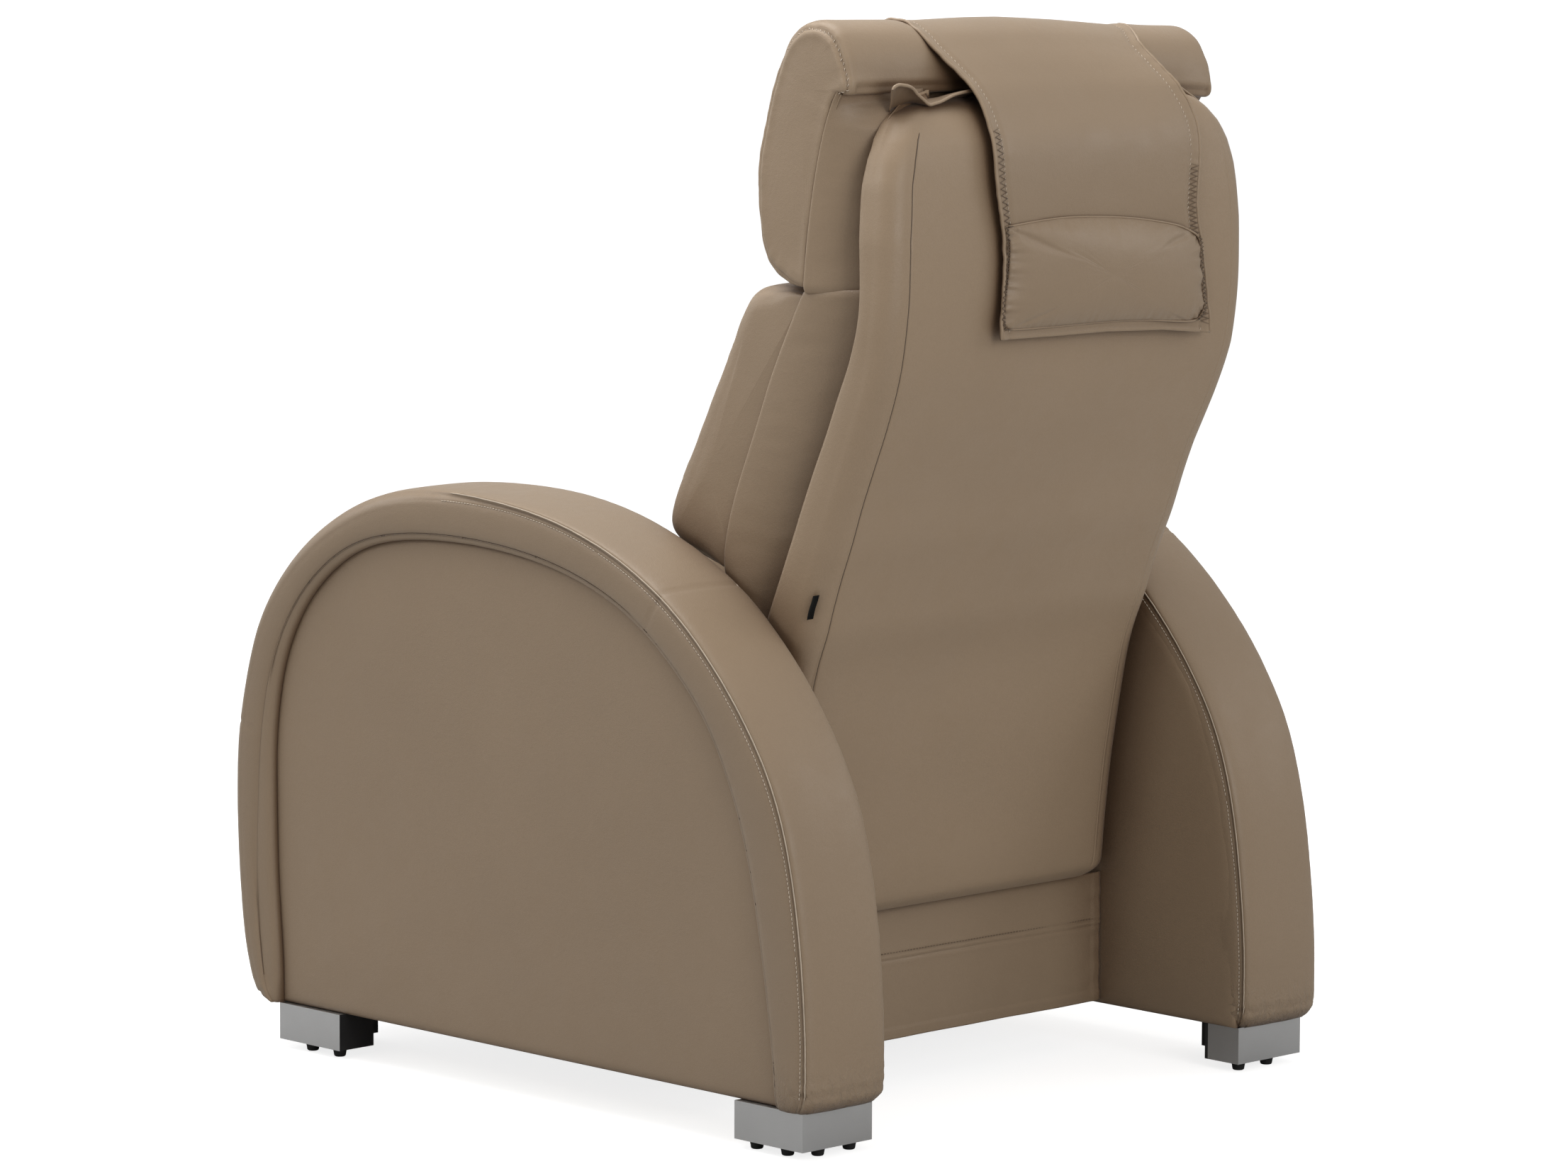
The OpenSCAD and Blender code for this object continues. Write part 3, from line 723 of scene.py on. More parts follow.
def arm_band(side):
    sg = 1 if side == "left" else -1
    O, I = arm_rails()
    s = np.linspace(0, 1, N_ARM)
    D = O - I
    w = np.linalg.norm(D, axis=1)
    u = D / w[:, None]
    k = np.minimum(1, w / 46.0)
    cf = 0.30 + 0.50 * smooth01((s - 0.55) / 0.3)
    # crown is lower where the lumbar cushion leans over it
    full = [(x, a, b) for x, a, b in SEC_OUT]
    inner = [(677 - x, a, b) for x, a, b in reversed(SEC_OUT)]
    sec = full + [(338.5, 1, 8.7)] + inner
    n0 = len(SEC_OUT)
    soft = [(x, b) for x, a, b in SEC_OUT[:n0 - len(SEC_SOFT)]] + SEC_SOFT
    soft = soft + [(338.5, 7.7)] + [(677 - x, b) for x, b in reversed(soft)]
    wf = 1 - smooth01((s - 0.36) / 0.17)
    G = np.zeros((N_ARM, len(sec), 3))
    for j, (x, a, b) in enumerate(sec):
        xs_, b_ = soft[j]
        x = x * (1 - wf) + xs_ * wf
        bv = b * (1 - wf) + b_ * wf
        bb = bv * np.where((bv > 0) & (a == 1), cf, k)
        if a == 0 and b > 8:
            # the facing strip beside the panel widens down the front
            wide = 0.45 + 1.25 * (1 - smooth01((s - 0.02) / 0.30)) * np.where(x > 338, 1.0, 0.3)
            bb = np.minimum(bb * wide, w * 0.40)
            # the strip's seam fades out down the rear
            fade = smooth01((s - 0.58) / 0.14)
            x = x + fade * (np.where(x > 338, 1, -1) * (395.2 - (x if j < 30 else 677 - x))) * (13 < b < 15)
        q = a * w + bb
        if 0 < a < 1:
            # the facing's middle: evenly between the strip and the crown's edge
            f = (a - .42) / .24 * 0.72 + 0.14
            q0 = np.minimum(17 * (0.45 + 1.25 * (1 - smooth01((s - 0.02) / 0.30)) * (1.0 if j < len(SEC_OUT) else 0.3)), w * 0.40)
            q1 = w - (18 * wf + 16.2 * (1 - wf)) * k
            q = q0 * (1 - f) + q1 * f
        G[:, j, 0] = x
        G[:, j, 1] = I[:, 0] + u[:, 0] * q
        G[:, j, 2] = I[:, 1] + u[:, 1] * q
    # hand-pulled leather: slow swell and short gathers by the edge seam
    P = G.reshape(-1, 3)
    jj = np.tile(np.arange(len(sec)), N_ARM)
    ss = np.repeat(s, len(sec))
    top = np.array([1.0 if (a == 1 and b > -4) else 0.0 for _, a, b in sec])[jj]
    seamy = np.array([math.exp(-((b + 5.6) / 5.0) ** 2) if a == 1 else 0.0 for _, a, b in sec])[jj]
    ends = np.maximum(smooth01((0.035 - ss) / 0.035), smooth01((ss - 0.955) / 0.045))
    n1 = lump(P, 90, 3.1 * sg)
    n2 = lump(P * np.array([1.0, 1.6, 1.6]), 17, 8.0 + sg)
    n3 = lump(P * np.array([0.5, 2.2, 2.2]), 12, 1.0 + sg)
    amp = 0.7 * n1 + (0.15 + 0.30 * seamy * smooth01((ss - 0.40) / 0.2)) * n2 + ends * (0.6 + seamy) * n3 * (1.0 + 0.7 * (ss > 0.9))
    cx = np.clip((P[:, 0] - 338.5) / 60, -1, 1)
    dirx = np.sign(cx) * np.abs(cx) ** 3 * (1 - 0.75 * top)
    uu = np.repeat(u, len(sec), 0)
    P[:, 0] += amp * dirx
    P[:, 1] += amp * uu[:, 0] * top
    P[:, 2] += amp * uu[:, 1] * top
    P[:, 2] = np.maximum(P[:, 2], 50.6)
    # the ends turn under with a soft corner
    e = np.clip((69 - P[:, 2]) / 18.0, 0, 1)
    e = 1 - np.sqrt(1 - e ** 2)
    hx = (P[:, 0] - 338.5) / 63.0
    rearend = (P[:, 1] > 200) & (np.abs(hx) > 0.5)
    P[:, 0] -= np.sign(hx) * e * 9.5 * np.where(hx < 0, 1.0, 0.55) * (np.abs(hx) > 0.80) * np.where(P[:, 1] > 200, 1.0, 0.6)
    P[:, 1] -= np.sign(P[:, 1]) * e * 3.0 * top
    P[:, 0] *= sg
    V = W(P)
    F = grid_faces(N_ARM, len(sec), False, True)
    n = len(sec)
    F.append(tuple(range(n)))
    F.append(tuple((N_ARM - 1) * n + a for a in range(n))[::-1])
    o = make(f"{side}_arm_band_leather", V, F, "leather_arm")
    G2 = V.reshape(N_ARM, n, 3)
    # cross seams where two hides are joined over the band
    for t, dep in ((0.665, 0.0011), (0.19, 0.0008)):
        i = int(t * N_ARM)
        groove(o, G2[i, 14:n - 14], dep, 0.0022, 0.0, 0.0004, 0.01, 0.012, t)
    # bottom hem on the rear and front ends
    for i in (int(0.012 * N_ARM), int(0.985 * N_ARM)):
        groove(o, G2[i, 16:n - 16], 0.0012, 0.0022, 0.0003, 0.0009, 0.009, 0.022, i)
    done(o, "root", [f"{side}_arm_band"])
    G2 = coords(o)
    # stitch rows: over the edge seam, and one beside it
    if len(G2) == N_ARM * n:
        G3 = G2.reshape(N_ARM, n, 3)
    else:
        G3 = V.reshape(N_ARM, n, 3)
    js = [j for j, (x, a, b) in enumerate(sec) if a == 1 and abs(b + 9.5) < .01]
    for kk, j in enumerate(js):
        path = G3[4:N_ARM - 4, j]
        out = np.zeros_like(path)
        out[:, 0] = sg if kk == 0 else -sg
        nm = f"{side}_band_{'outer' if kk == 0 else 'inner'}_stitching"
        i0 = int(0.455 * N_ARM)
        stitches(nm, path[i0:], out[i0:], "root", "thread", 0.0046, 0.80, 0.00062, 0.0004, skip=0.02)
        # folded edge of the crown's hide beside the stitches, a cord coloured lighter than the leather: painted
        # highlight
        je = [jj for jj, (x, a, b) in enumerate(sec) if a == 1 and abs(b + 2.0) < .01][kk]
        edge = G3[int(0.47 * N_ARM):N_ARM - 5, je].copy()
        edge[:, 0] += (sg if kk == 0 else -sg) * 0.0004
        tube(f"{side}_band_{'outer' if kk == 0 else 'inner'}_edge", edge, 0.00072, "piping_highlight", "root", 6)
    return o


def star_panel(name, bound, xf, xb, sg, crown, node, mat="leather", tuck=5.0, bottom_round=True):
    """A padded side panel: face X xf, back X xb, outline bound (Y, Z)."""
    C = np.array([-30.0, 300.0])
    B = np.asarray(bound)
    rs = np.r_[1, .997, .99, .98, .965, .945, .92, np.linspace(.88, 0.04, 26)]
    nb = len(B)
    V, out = [], 1 if xf > xb else -1
    for r in rs:
        P = C + (B - C) * r
        zl = P[:, 1] - 51.2
        drop = tuck * (1 - np.sqrt(np.clip(1 - np.clip((r - .965) / .035, 0, 1) ** 2, 0, 1)))
        x = xf + out * (crown * (1 - r ** 2.2) - drop * np.ones(nb))
        if bottom_round:
            e = np.clip(1 - zl / 6.0, 0, 1)
            x = x - out * 4.0 * (1 - np.sqrt(np.clip(1 - e ** 2, 0, 1))) * (zl < 6) * (r < .965)
        Q = np.stack([x, P[:, 0], P[:, 1]], 1)
        x2 = 1.1 * lump(Q, 150, 2.0 * sg) + 0.35 * lump(Q, 45, 5.0)
        Q[:, 0] += out * x2 * (1 - r ** 6)
        V.append(Q)
    V.append(np.array([[xf + out * crown, C[0], C[1]]]))
    nf = sum(len(v) for v in V)
    back = np.stack([np.full(nb, xb), C[0] + (B[:, 0] - C[0]) * 0.995, np.maximum(C[1] + (B[:, 1] - C[1]) * 0.995, 52)], 1)
    V.append(back)
    V.append(np.array([[xb, C[0], C[1]]]))
    P = np.vstack(V)
    P[:, 0] *= sg
    F = grid_faces(len(rs), nb, False, True)
    c = len(rs) * nb
    last = (len(rs) - 1) * nb
    for i in range(nb):
        F.append((last + i, last + (i + 1) % nb, c))
        F.append((nf + i, nf + (i + 1) % nb, nf + nb))
        F.append((i, (i + 1) % nb, nf + (i + 1) % nb, nf + i))
    o = make(name, W(P), F, mat)
    return done(o, "root", [node])


def panel_bound(grow):
    a = resample(ARM_I, 230)
    a = a + normals2(a) * grow
    a = a[(a[:, 1] > 58)]
    a = np.vstack([[a[0, 0], 51.2], a, [a[-1, 0], 51.2]])
    bot = np.stack([np.linspace(a[-1, 0], a[0, 0], 60)[1:-1], np.full(58, 51.2)], 1)
    return np.vstack([a, bot])


def inner_bound(inset):
    """Outline of the arm's inner face, a little inside the crown's edge."""
    O, I = arm_rails()
    D = O - I
    w = np.linalg.norm(D, axis=1)
    a = I + D / w[:, None] * (w - inset * np.minimum(1, w / 46.0))[:, None]
    a = resample(a, 230)
    a = a[a[:, 1] > 58]
    a = np.vstack([[a[0, 0], 51.2], a, [a[-1, 0], 51.2]])
    bot = np.stack([np.linspace(a[-1, 0], a[0, 0], 60)[1:-1], np.full(58, 51.2)], 1)
    return np.vstack([a, bot])


def build_arms():
    for side, sg in (("left", 1), ("right", -1)):
        arm_band(side)
        star_panel(f"{side}_outer_panel_leather", panel_bound(3.0), 383.6, 372, sg, 3.4, f"{side}_outer_panel")
        star_panel(f"{side}_inner_panel_leather", inner_bound(12.5), 279.0, 292.5, sg, 1.2, f"{side}_inner_panel", tuck=3.2)


build_arms()

# ------------------------------------------------------------------ back shell
SH_R = spl([[228, 203.5], [238, 214], [241, 228], [244, 261], [249, 304], [254, 341], [260, 376], [267, 413], [276, 457], [286, 490], [302, 527],
            [312, 555], [326, 590], [341, 624], [357, 668], [374, 709], [394, 757], [412, 812], [422, 873], [424, 930], [422, 990], [416, 1040], [405, 1070], [391, 1086], [373, 1092.5]], 8)
SH_F = spl([[366, 1091], [371, 1060], [374, 1040], [373, 989], [376, 930], [376, 873], [363, 825], [345, 782], [329, 744], [311, 705], [292, 660], [278, 626], [262, 591],
            [244, 552], [228, 515], [216, 480], [206, 440], [199, 400], [194, 360], [190, 320], [187, 280], [185, 240], [185, 203]], 8)[::-1]


def shell_rear(z):
    return np.interp(z, SH_R[:, 1], SH_R[:, 0])


def shell_front(z):
    return np.interp(z, SH_F[:, 1], SH_F[:, 0])


def shell_hw(z):
    h = 268.0
    if z < 224:
        h -= 20 * (1 - math.sqrt(max(0, 1 - ((224 - z) / 20.6) ** 2)))
    h -= np.interp(z, [860, 950, 1010, 1035, 1055, 1070, 1080, 1087, 1092.5], [0, 1.5, 7, 13.5, 24, 37, 51, 68, 96])
    return h


def shell_crown(x, z):
    h = shell_hw(z)
    k = smooth01((z - 203) / 60) * smooth01((1092 - z) / 60)
    return 4.0 * (1 - min(1, abs(x / h)) ** 2.4) * k


def back_shell():
    zs = np.r_[203.5, 204, 205.2, 207, 209.5, 213, 217, 222, np.arange(228, 1040, 6.5), 1044 + 48.5 * np.sin(np.linspace(0, math.pi / 2, 22))]
    rows = []

    def half_row(z, hw, seam):
        yr, yf = float(shell_rear(z)), float(shell_front(z))
        dep = max(2.0, yr - yf)
        R = min(27.0, dep * 0.62)
        half = [(hw - 13, yf + 5), (hw - 11, yf + 1.2), (hw - 7, yf - 0.6), (hw - 3, yf + 0.3), (hw - .6, yf + min(3, dep * .05))]
        ys = np.linspace(yf + min(6, dep * .1), yr - R, 22)
        for y in ys:
            t = (y - yf) / dep
            half.append((hw + 1.6 * math.sin(math.pi * min(1, t / max(.2, 1 - R / dep))), y))
        for ph in np.linspace(0, math.pi / 2, 14)[1:]:
            half.append((hw - R + R * math.cos(ph), yr - R + R * math.sin(ph)))
        g = seam * smooth01((1052 - z) / 60) * smooth01((z - 205) / 14)
        x0 = hw - R
        for dx, dy in ((1.0, .15), (2.0, .6), (2.7, 1.0), (3.4, .6), (4.4, .15), (6.0, 0)):
            half.append((x0 - dx, yr - g * dy + shell_crown(x0 - dx, z)))
        for x in np.linspace(x0 - 10, 0, 34):
            half.append((x, yr + shell_crown(x, z)))
        return half
    for z in zs:
        # the upper part is a little fuller, most of all on the right
        L = half_row(z, shell_hw(z) + np.interp(z, [480, 620, 1000, 1092], [0, 6, 6, 4]), 1.5)
        Rr = half_row(z, shell_hw(z) + np.interp(z, [560, 700, 760, 812, 912, 990, 1092], [0, 2, 9, 14, 13, 13, 9]), 0.5)
        rows.append([(x, y, z) for x, y in L] + [(-x, y, z) for x, y in Rr[-2::-1]])
    G = np.array(rows)
    nu, nv = G.shape[:2]
    P = G.reshape(-1, 3)
    amp = 1.0 * lump(P, 190, 4.0) + 0.35 * lump(P, 60, 9.0)
    mid = np.clip((P[:, 1] - shell_front(P[:, 2])) / 60, 0, 1) * smooth01((250 - np.abs(P[:, 0])) / 40)
    P[:, 1] += amp * mid
    side = smooth01((np.abs(P[:, 0]) - 262) / 5) * smooth01((P[:, 2] - 215) / 40) * smooth01((1000 - P[:, 2]) / 60)
    P[:, 0] += np.sign(P[:, 0]) * side * 0.8 * lump(P, 70, 1.0)
    o = make("back_shell_leather", W(P), grid_faces(nu, nv), "leather_shell")
    m = o.modifiers.new("sol", "SOLIDIFY")
    m.thickness = 0.010
    m.offset = -1
    # solidify must grow inward: face normals point out of the shell
    n = vnormals(o)
    c = coords(o)
    if float((n[:, 1] * (c[:, 1] > c[:, 1].mean())).sum()) < 0:
        m.offset = 1
    apply_mods(o)
    seam = [j for j in range(nv)]
    GG = W(P).reshape(nu, nv, 3)
    jl = 5 + 22 + 13 + 2
    pts = GG[:, jl]
    # gathers where the seam runs out near the top
    sel = (zs > 880) & (zs < 1060)
    groove(o, pts[sel], 0.0, 0.003, 0.0, 0.0005, 0.016, 0.02, 3)
    for nm, jx in (("left", jl),):
        line = GG[:, jx][(zs > 206) & (zs < 1062)].copy()
        line[:, 1] += 0.0003
        # painted shade: a dark cord along the seam stands for the shade in its crease
        tube(f"back_shell_{nm}_seam", line, 0.00055, "crease_shade", "backrest", 6)
    done(o, "backrest", ["back_shell"])
    return o, GG, zs, jl


SHELL, SHELL_G, SHELL_Z, SHELL_J = back_shell()


def end_x(z, x):
    """Inner end of a side cover: it follows the shell's rounded top."""
    return min(x, shell_hw(min(1092.0, z)) - 4) if z > 1030 else x


def head_tilt(x, z, z0=1060.0, dz=110.0):
    """Drop of the head roll's and strap's tops across the width (mm)."""
    d = np.interp(x, [-280, -270, -200, -100, 0, 270, 280], [25, 25, 19.5, 10.5, 3.5, 0, 0])
    return -d * smooth01((np.asarray(z, float) - z0) / dz)


# ------------------------------------------------------------------ box cushions
def box_cushion(name, prof, hw, r, crown_x, cap_bulge, body, node, cap=0.006, seam_phi=0.62, nx=56, nprof=120, pressure=4.0,
                seams=(), depth=0.0020, sim=True, squeeze=None, sub=1, wrinkle=0.5, both_seams=True, seed=1.0, pucker=0.0009, flat_near=None, flat_reach=40.0, centre=None):
    """A wrapped cushion with end caps: profile (Y, Z) closed, half width hw."""
    P = resample(prof, nprof, closed=True)
    A = 0.5 * np.sum(P[:, 0] * np.roll(P[:, 1], -1) - np.roll(P[:, 0], -1) * P[:, 1])
    if A < 0:
        P = P[::-1]
    N = -normals2(P, True)
    C = P.mean(0) if centre is None else np.array(centre, float)
    rw = np.ones(nprof)
    if flat_near is not None:
        q3 = np.column_stack([np.zeros(nprof), P]) / 1000
        f3 = np.array([(0, a / 1000, b / 1000) for a, b in flat_near])
        rw = 0.10 + 0.90 * smooth01(dist_to(f3, q3)[0] * 1000 / flat_reach)
    rows, kinds = [], []
    xs = np.linspace(-(hw - r), hw - r, nx)
    half = []
    for ph in np.linspace(0, math.pi / 2, 8)[1:]:
        half.append((hw - r + r * math.sin(ph), r * (1 - math.cos(ph)), ph))
    st = [(-x, d, ph) for x, d, ph in half[::-1]] + [(x, 0, 0) for x in xs] + half
    for x, d, ph in st:
        e = crown_x * (abs(x) / hw) ** 3
        rows.append(np.column_stack([np.full(nprof, x), P - N * ((d + e) * rw)[:, None]]))
        kinds.append(ph)
    ring_end = rows[-1][:, 1:]
    caps = []
    for t in (0.12, 0.3, 0.5, 0.7, 0.86, 0.96):
        caps.append((t, ring_end * (1 - t) + C * t))
    right = [np.column_stack([np.full(nprof, hw + cap_bulge * (1 - (1 - t) ** 2)), q]) for t, q in caps]
    left = [np.column_stack([np.full(nprof, -(hw + cap_bulge * (1 - (1 - t) ** 2))), q]) for t, q in caps][::-1]
    rows = left + rows + right
    nu = len(rows)
    V = np.vstack(rows)
    V = np.vstack([V, [[-(hw + cap_bulge), *C]], [[hw + cap_bulge, *C]]])
    F = grid_faces(nu, nprof, False, True)
    for i in range(nprof):
        F.append((i, (i + 1) % nprof, nu * nprof))
        F.append(((nu - 1) * nprof + i, (nu - 1) * nprof + (i + 1) % nprof, nu * nprof + 1))
    if squeeze is not None:
        V = squeeze(V)
    Vw = W(V)
    o = make(name, Vw, F, "leather")
    k = len(left) + next(i for i, h in enumerate(half[::-1]) if h[2] <= seam_phi * math.pi / 2) if False else None
    phs = [h[2] for h in half]
    si = min(range(len(phs)), key=lambda i: abs(phs[i] - seam_phi * math.pi / 2))
    iR = len(left) + len(half) + nx + si
    iL = len(left) + len(half) - 1 - si
    ringR, ringL = Vw[iR * nprof:(iR + 1) * nprof], Vw[iL * nprof:(iL + 1) * nprof]
    if len(o.data.vertices) == len(Vw):
        pins = np.zeros(len(Vw))
        pins[iR * nprof:(iR + 1) * nprof] = 1
        pins[iL * nprof:(iL + 1) * nprof] = 1
        # the end caps are stiff boards under the leather
        pins[:len(left) * nprof] = 1
        pins[(nu - len(right)) * nprof:] = 1
        for s in seams:
            d, _ = dist_to(s, Vw)
            pins[d < 0.004] = 1
    else:
        pins = None
    if sim:
        inflate(o, cap, pressure, 20, pins)
    c = coords(o)
    if pins is not None:
        ringR, ringL = c[iR * nprof:(iR + 1) * nprof].copy(), c[iL * nprof:(iL + 1) * nprof].copy()
    subdiv(o, sub)
    if wrinkle:
        c, n = coords(o), vnormals(o)
        mm = c * 1000
        h = wrinkle * (0.9 * lump(mm, 85, seed) + 0.35 * lump(mm * np.array([.6, 1, 1.6]), 34, seed + 3))
        set_coords(o, c + n * (h / 1000)[:, None])
    closed = lambda q: np.vstack([q, q[:1]])
    paths = []
    for q in (ringR, ringL):
        groove(o, closed(q), depth, 0.0026, 0.0007, pucker, 0.013, 0.028, seed)
        paths.append(closed(q))
    for s in seams:
        s2, _ = project_path(o, s)
        groove(o, s2, depth, 0.0028, 0.0008, pucker, 0.014, 0.026, seed + 2)
    done(o, body, [node] if node else [])
    return o, paths


def xline(points, x0, x1, n=60):
    """A seam across the width at a (Y, Z) place, mm."""
    y, z = points
    return W(np.column_stack([np.linspace(x0, x1, n), np.full(n, y), np.full(n, z)]))


def tilted(V):
    V = V.copy()
    # pressed down a little by the strap
    k = smooth01((V[:, 0] + 178) / 22) * smooth01((162 - V[:, 0]) / 22) * smooth01((V[:, 2] - 1120) / 40)
    V[:, 2] -= 6.5 * k
    V[:, 0] -= 8.0 * smooth01((-V[:, 0] - 90) / 150)
    V[:, 2] += head_tilt(V[:, 0], V[:, 2], 985.0, 90.0)
    return V


LUM_R = [[187, 590], [184, 604], [182, 622], [196, 668], [225, 738], [252, 803], [283, 864], [297, 888]]
LUM_F = [[268, 896], [228, 895], [203, 885], [185, 862], [166, 822], [130, 752], [98, 690], [80, 650], [78, 624], [96, 604], [140, 590], [186, 584]]
HEAD_P = [[303, 897], [270, 899], [243, 914], [228, 944], [223, 985], [225, 1030], [237, 1080], [251, 1122], [267, 1154], [291, 1173], [320, 1177], [345, 1166], [361, 1142], [367, 1115], [364, 1101]]
HEAD_B = [[350, 1101], [342, 1090], [330, 1050], [318, 1000], [309, 945]]

lum_prof = np.vstack([spl(LUM_R, 4), spl(LUM_F, 6)])
head_prof = np.vstack([spl(HEAD_P, 6), np.array(HEAD_B)])
LUMBAR, lum_paths = box_cushion("lumbar_cushion_leather", lum_prof, 268, 24, 2.0, 2.5, "backrest", "lumbar_cushion", cap=0.006,
                                seams=[xline((167, 822), -255, 255), xline((98, 690), -255, 255)], seed=2.0, wrinkle=0.7, seam_phi=0.5,
                                depth=0.0003, pucker=0.0002, flat_near=LUM_R, flat_reach=60.0, centre=(150, 690))
HEAD, head_paths = box_cushion("head_cushion_leather", head_prof, 277, 15, 0.5, 1.5, "backrest", "head_cushion", cap=0.004,
                               seams=[tilted(xline((366, 1108), -264, 264) * 1000) / 1000], seed=4.0, wrinkle=0.8, seam_phi=0.75, squeeze=tilted,
                               flat_near=[[303, 897]] + HEAD_B[::-1], flat_reach=45.0, centre=(300, 1104))
seat_prof = spl([[-430, 387], [-450, 392], [-462, 408], [-463, 428], [-452, 446], [-425, 457], [-380, 461], [-200, 458], [-40, 457], [30, 456], [44, 452], [48, 440], [46, 400], [38, 387]], 6)
SEAT, seat_paths = box_cushion("seat_cushion_leather", seat_prof, 268, 14, 2.0, 0.0, "root", "seat_cushion", cap=0.012, pressure=5.0,
                               seams=[xline((-425, 457), -258, 258), xline((-462, 410), -258, 258)], seed=6.0, wrinkle=1.2, nprof=150)
leg_prof = spl([[-404, 88], [-430, 91], [-456, 104], [-467, 138], [-468, 200], [-467, 270], [-458, 300], [-436, 314], [-404, 317]], 6)
LEG, leg_paths = box_cushion("leg_pad_leather", leg_prof, 262, 14, 2.0, 0.0, "leg_rest", "leg_pad", cap=0.009,
                             seams=[xline((-468, 170), -252, 252), xline((-467, 245), -252, 252)], seed=8.0, wrinkle=0.8)
low_prof = np.array([[184, 579], [156, 500], [133, 440], [115, 392], [62, 392], [58, 420], [62, 450], [84, 520], [104, 560], [122, 579]], float)
LOW, low_paths = box_cushion("lower_back_pad_leather", resample(low_prof, 90, True), 250, 12, 2.0, 0.0, "backrest", "lower_back_pad", cap=0.006,
                             seams=[xline((72, 487), -240, 240)], seed=10.0, wrinkle=0.8)
neck_prof = spl([[212, 948], [190, 946], [158, 958], [142, 985], [142, 1012], [156, 1036], [182, 1048], [206, 1050], [212, 1046]], 6)


def shift_x(dx):
    def f(V):
        V = V.copy()
        V[:, 0] += dx
        return V
    return f


NECK, neck_paths = box_cushion("neck_pillow_leather", neck_prof, 138, 22, 4.0, 0.0, "backrest", "neck_pillow", cap=0.008,
                               squeeze=shift_x(-25), seed=12.0, wrinkle=0.9, nprof=90, nx=40)


# ------------------------------------------------------------------ side covers of the two cushions
def side_cover(name, seam, front, sg, x_seam, x_end, bulge, power=1.7, lower=0.0, upper=0.0):
    """Leather between a cushion's side seam and the shell, curving inward; its ends turn in over lower and upper mm."""
    A, B = resample(spl(seam, 8), 120), resample(spl(front, 8), 120)
    nv = 30
    G = np.zeros((120, nv, 3))
    t = np.linspace(0, 1, nv) ** 1.25
    for i in range(120):
        Q = A[i] * (1 - t[:, None]) + B[i] * t[:, None]
        xe = end_x(A[i, 1], x_end)
        x = x_seam + (xe - x_seam) * t ** power + bulge * np.sin(math.pi * np.minimum(1, t * 1.25)) * (1 - t)
        x -= 5.5 * np.clip(1 - t / 0.022, 0, 1) ** 2
        for d, e in ((length(A[:i + 1]) if i else 0.0, lower), (length(A[i:]) if i < 119 else 0.0, upper)):
            if e:
                q = np.clip(1 - d / e, 0, 1)
                x = x - 9.0 * (1 - math.sqrt(1 - q * q))
        G[i, :, 0] = x
        G[i, :, 1:] = Q
    P = G.reshape(-1, 3)
    tt = np.tile(t, 120)
    P[:, 0] += (1.1 * lump(P, 60, 6.0) + 0.4 * lump(P * np.array([1, .6, 1.4]), 24, 2.0)) * smooth01(tt / 0.25)
    P[:, 0] *= sg
    o = make(name, W(P), grid_faces(120, nv), "leather")
    m = o.modifiers.new("sol", "SOLIDIFY")
    m.thickness = 0.005
    n = vnormals(o)
    m.offset = -1 if float(n[:, 0].mean() * sg) > 0 else 1
    apply_mods(o)
    done(o, "backrest", [])
    H = W((P * np.array([1, 1, 1])).reshape(120, nv, 3))
    line = (0.62 * H[:, 0] + 0.38 * H[:, 1])[2:-2]
    # painted shade: a dark cord along the seam stands for the shade in its crease
    tube(name.replace("_leather", "_seam"), line, 0.00062, "crease_shade", "backrest", 6)
    return o


for side, sg in (("left", 1), ("right", -1)):
    a = side_cover(f"{side}_lumbar_side_leather", [[206, 545], [186, 562], [176, 590], [178, 622], [192, 670], [221, 740], [248, 805], [279, 866], [298, 899]],
                   [[244, 528], [252, 560], [262, 586], [282, 628], [298, 662], [336, 746], [370, 827], [383, 872], [386, 899]], sg, 272.0, 236, 1.5, 1.8, 0.0, 13.0)
    b = side_cover(f"{side}_head_side_leather", [[299, 889], [305, 945], [314, 1000], [326, 1050], [339, 1086], [349, 1104]],
                   [[384, 889], [384, 940], [383, 1000], [380, 1050], [374, 1086], [368, 1104]], sg, 279.0 if sg > 0 else 286.0, 230, 0.0, 1.35, 13.0, 0.0)
    if side == "left":
        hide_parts("lumbar_covers")
        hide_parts("head_covers")


# ------------------------------------------------------------------ strap, its pillows and the flap
STRAP = spl([[211, 1008], [218.5, 1040], [230.5, 1084], [245.2, 1128], [265, 1155], [291, 1170], [320, 1173], [346, 1163], [367, 1144], [388, 1121], [407, 1097], [422, 1066],
             [431, 1030], [434, 980], [433, 930], [432, 833]], 10)


def strap_y(z):
    """Depth of the strap's rear fall at a height."""
    k = int(np.argmax(STRAP[:, 1]))
    return np.interp(z, STRAP[k:, 1][::-1], STRAP[k:, 0][::-1])


def edge_x(p, tab):
    """Edge position from a table of (run along the strap, x)."""
    return np.interp(p, [a for a, _ in tab], [b for _, b in tab])


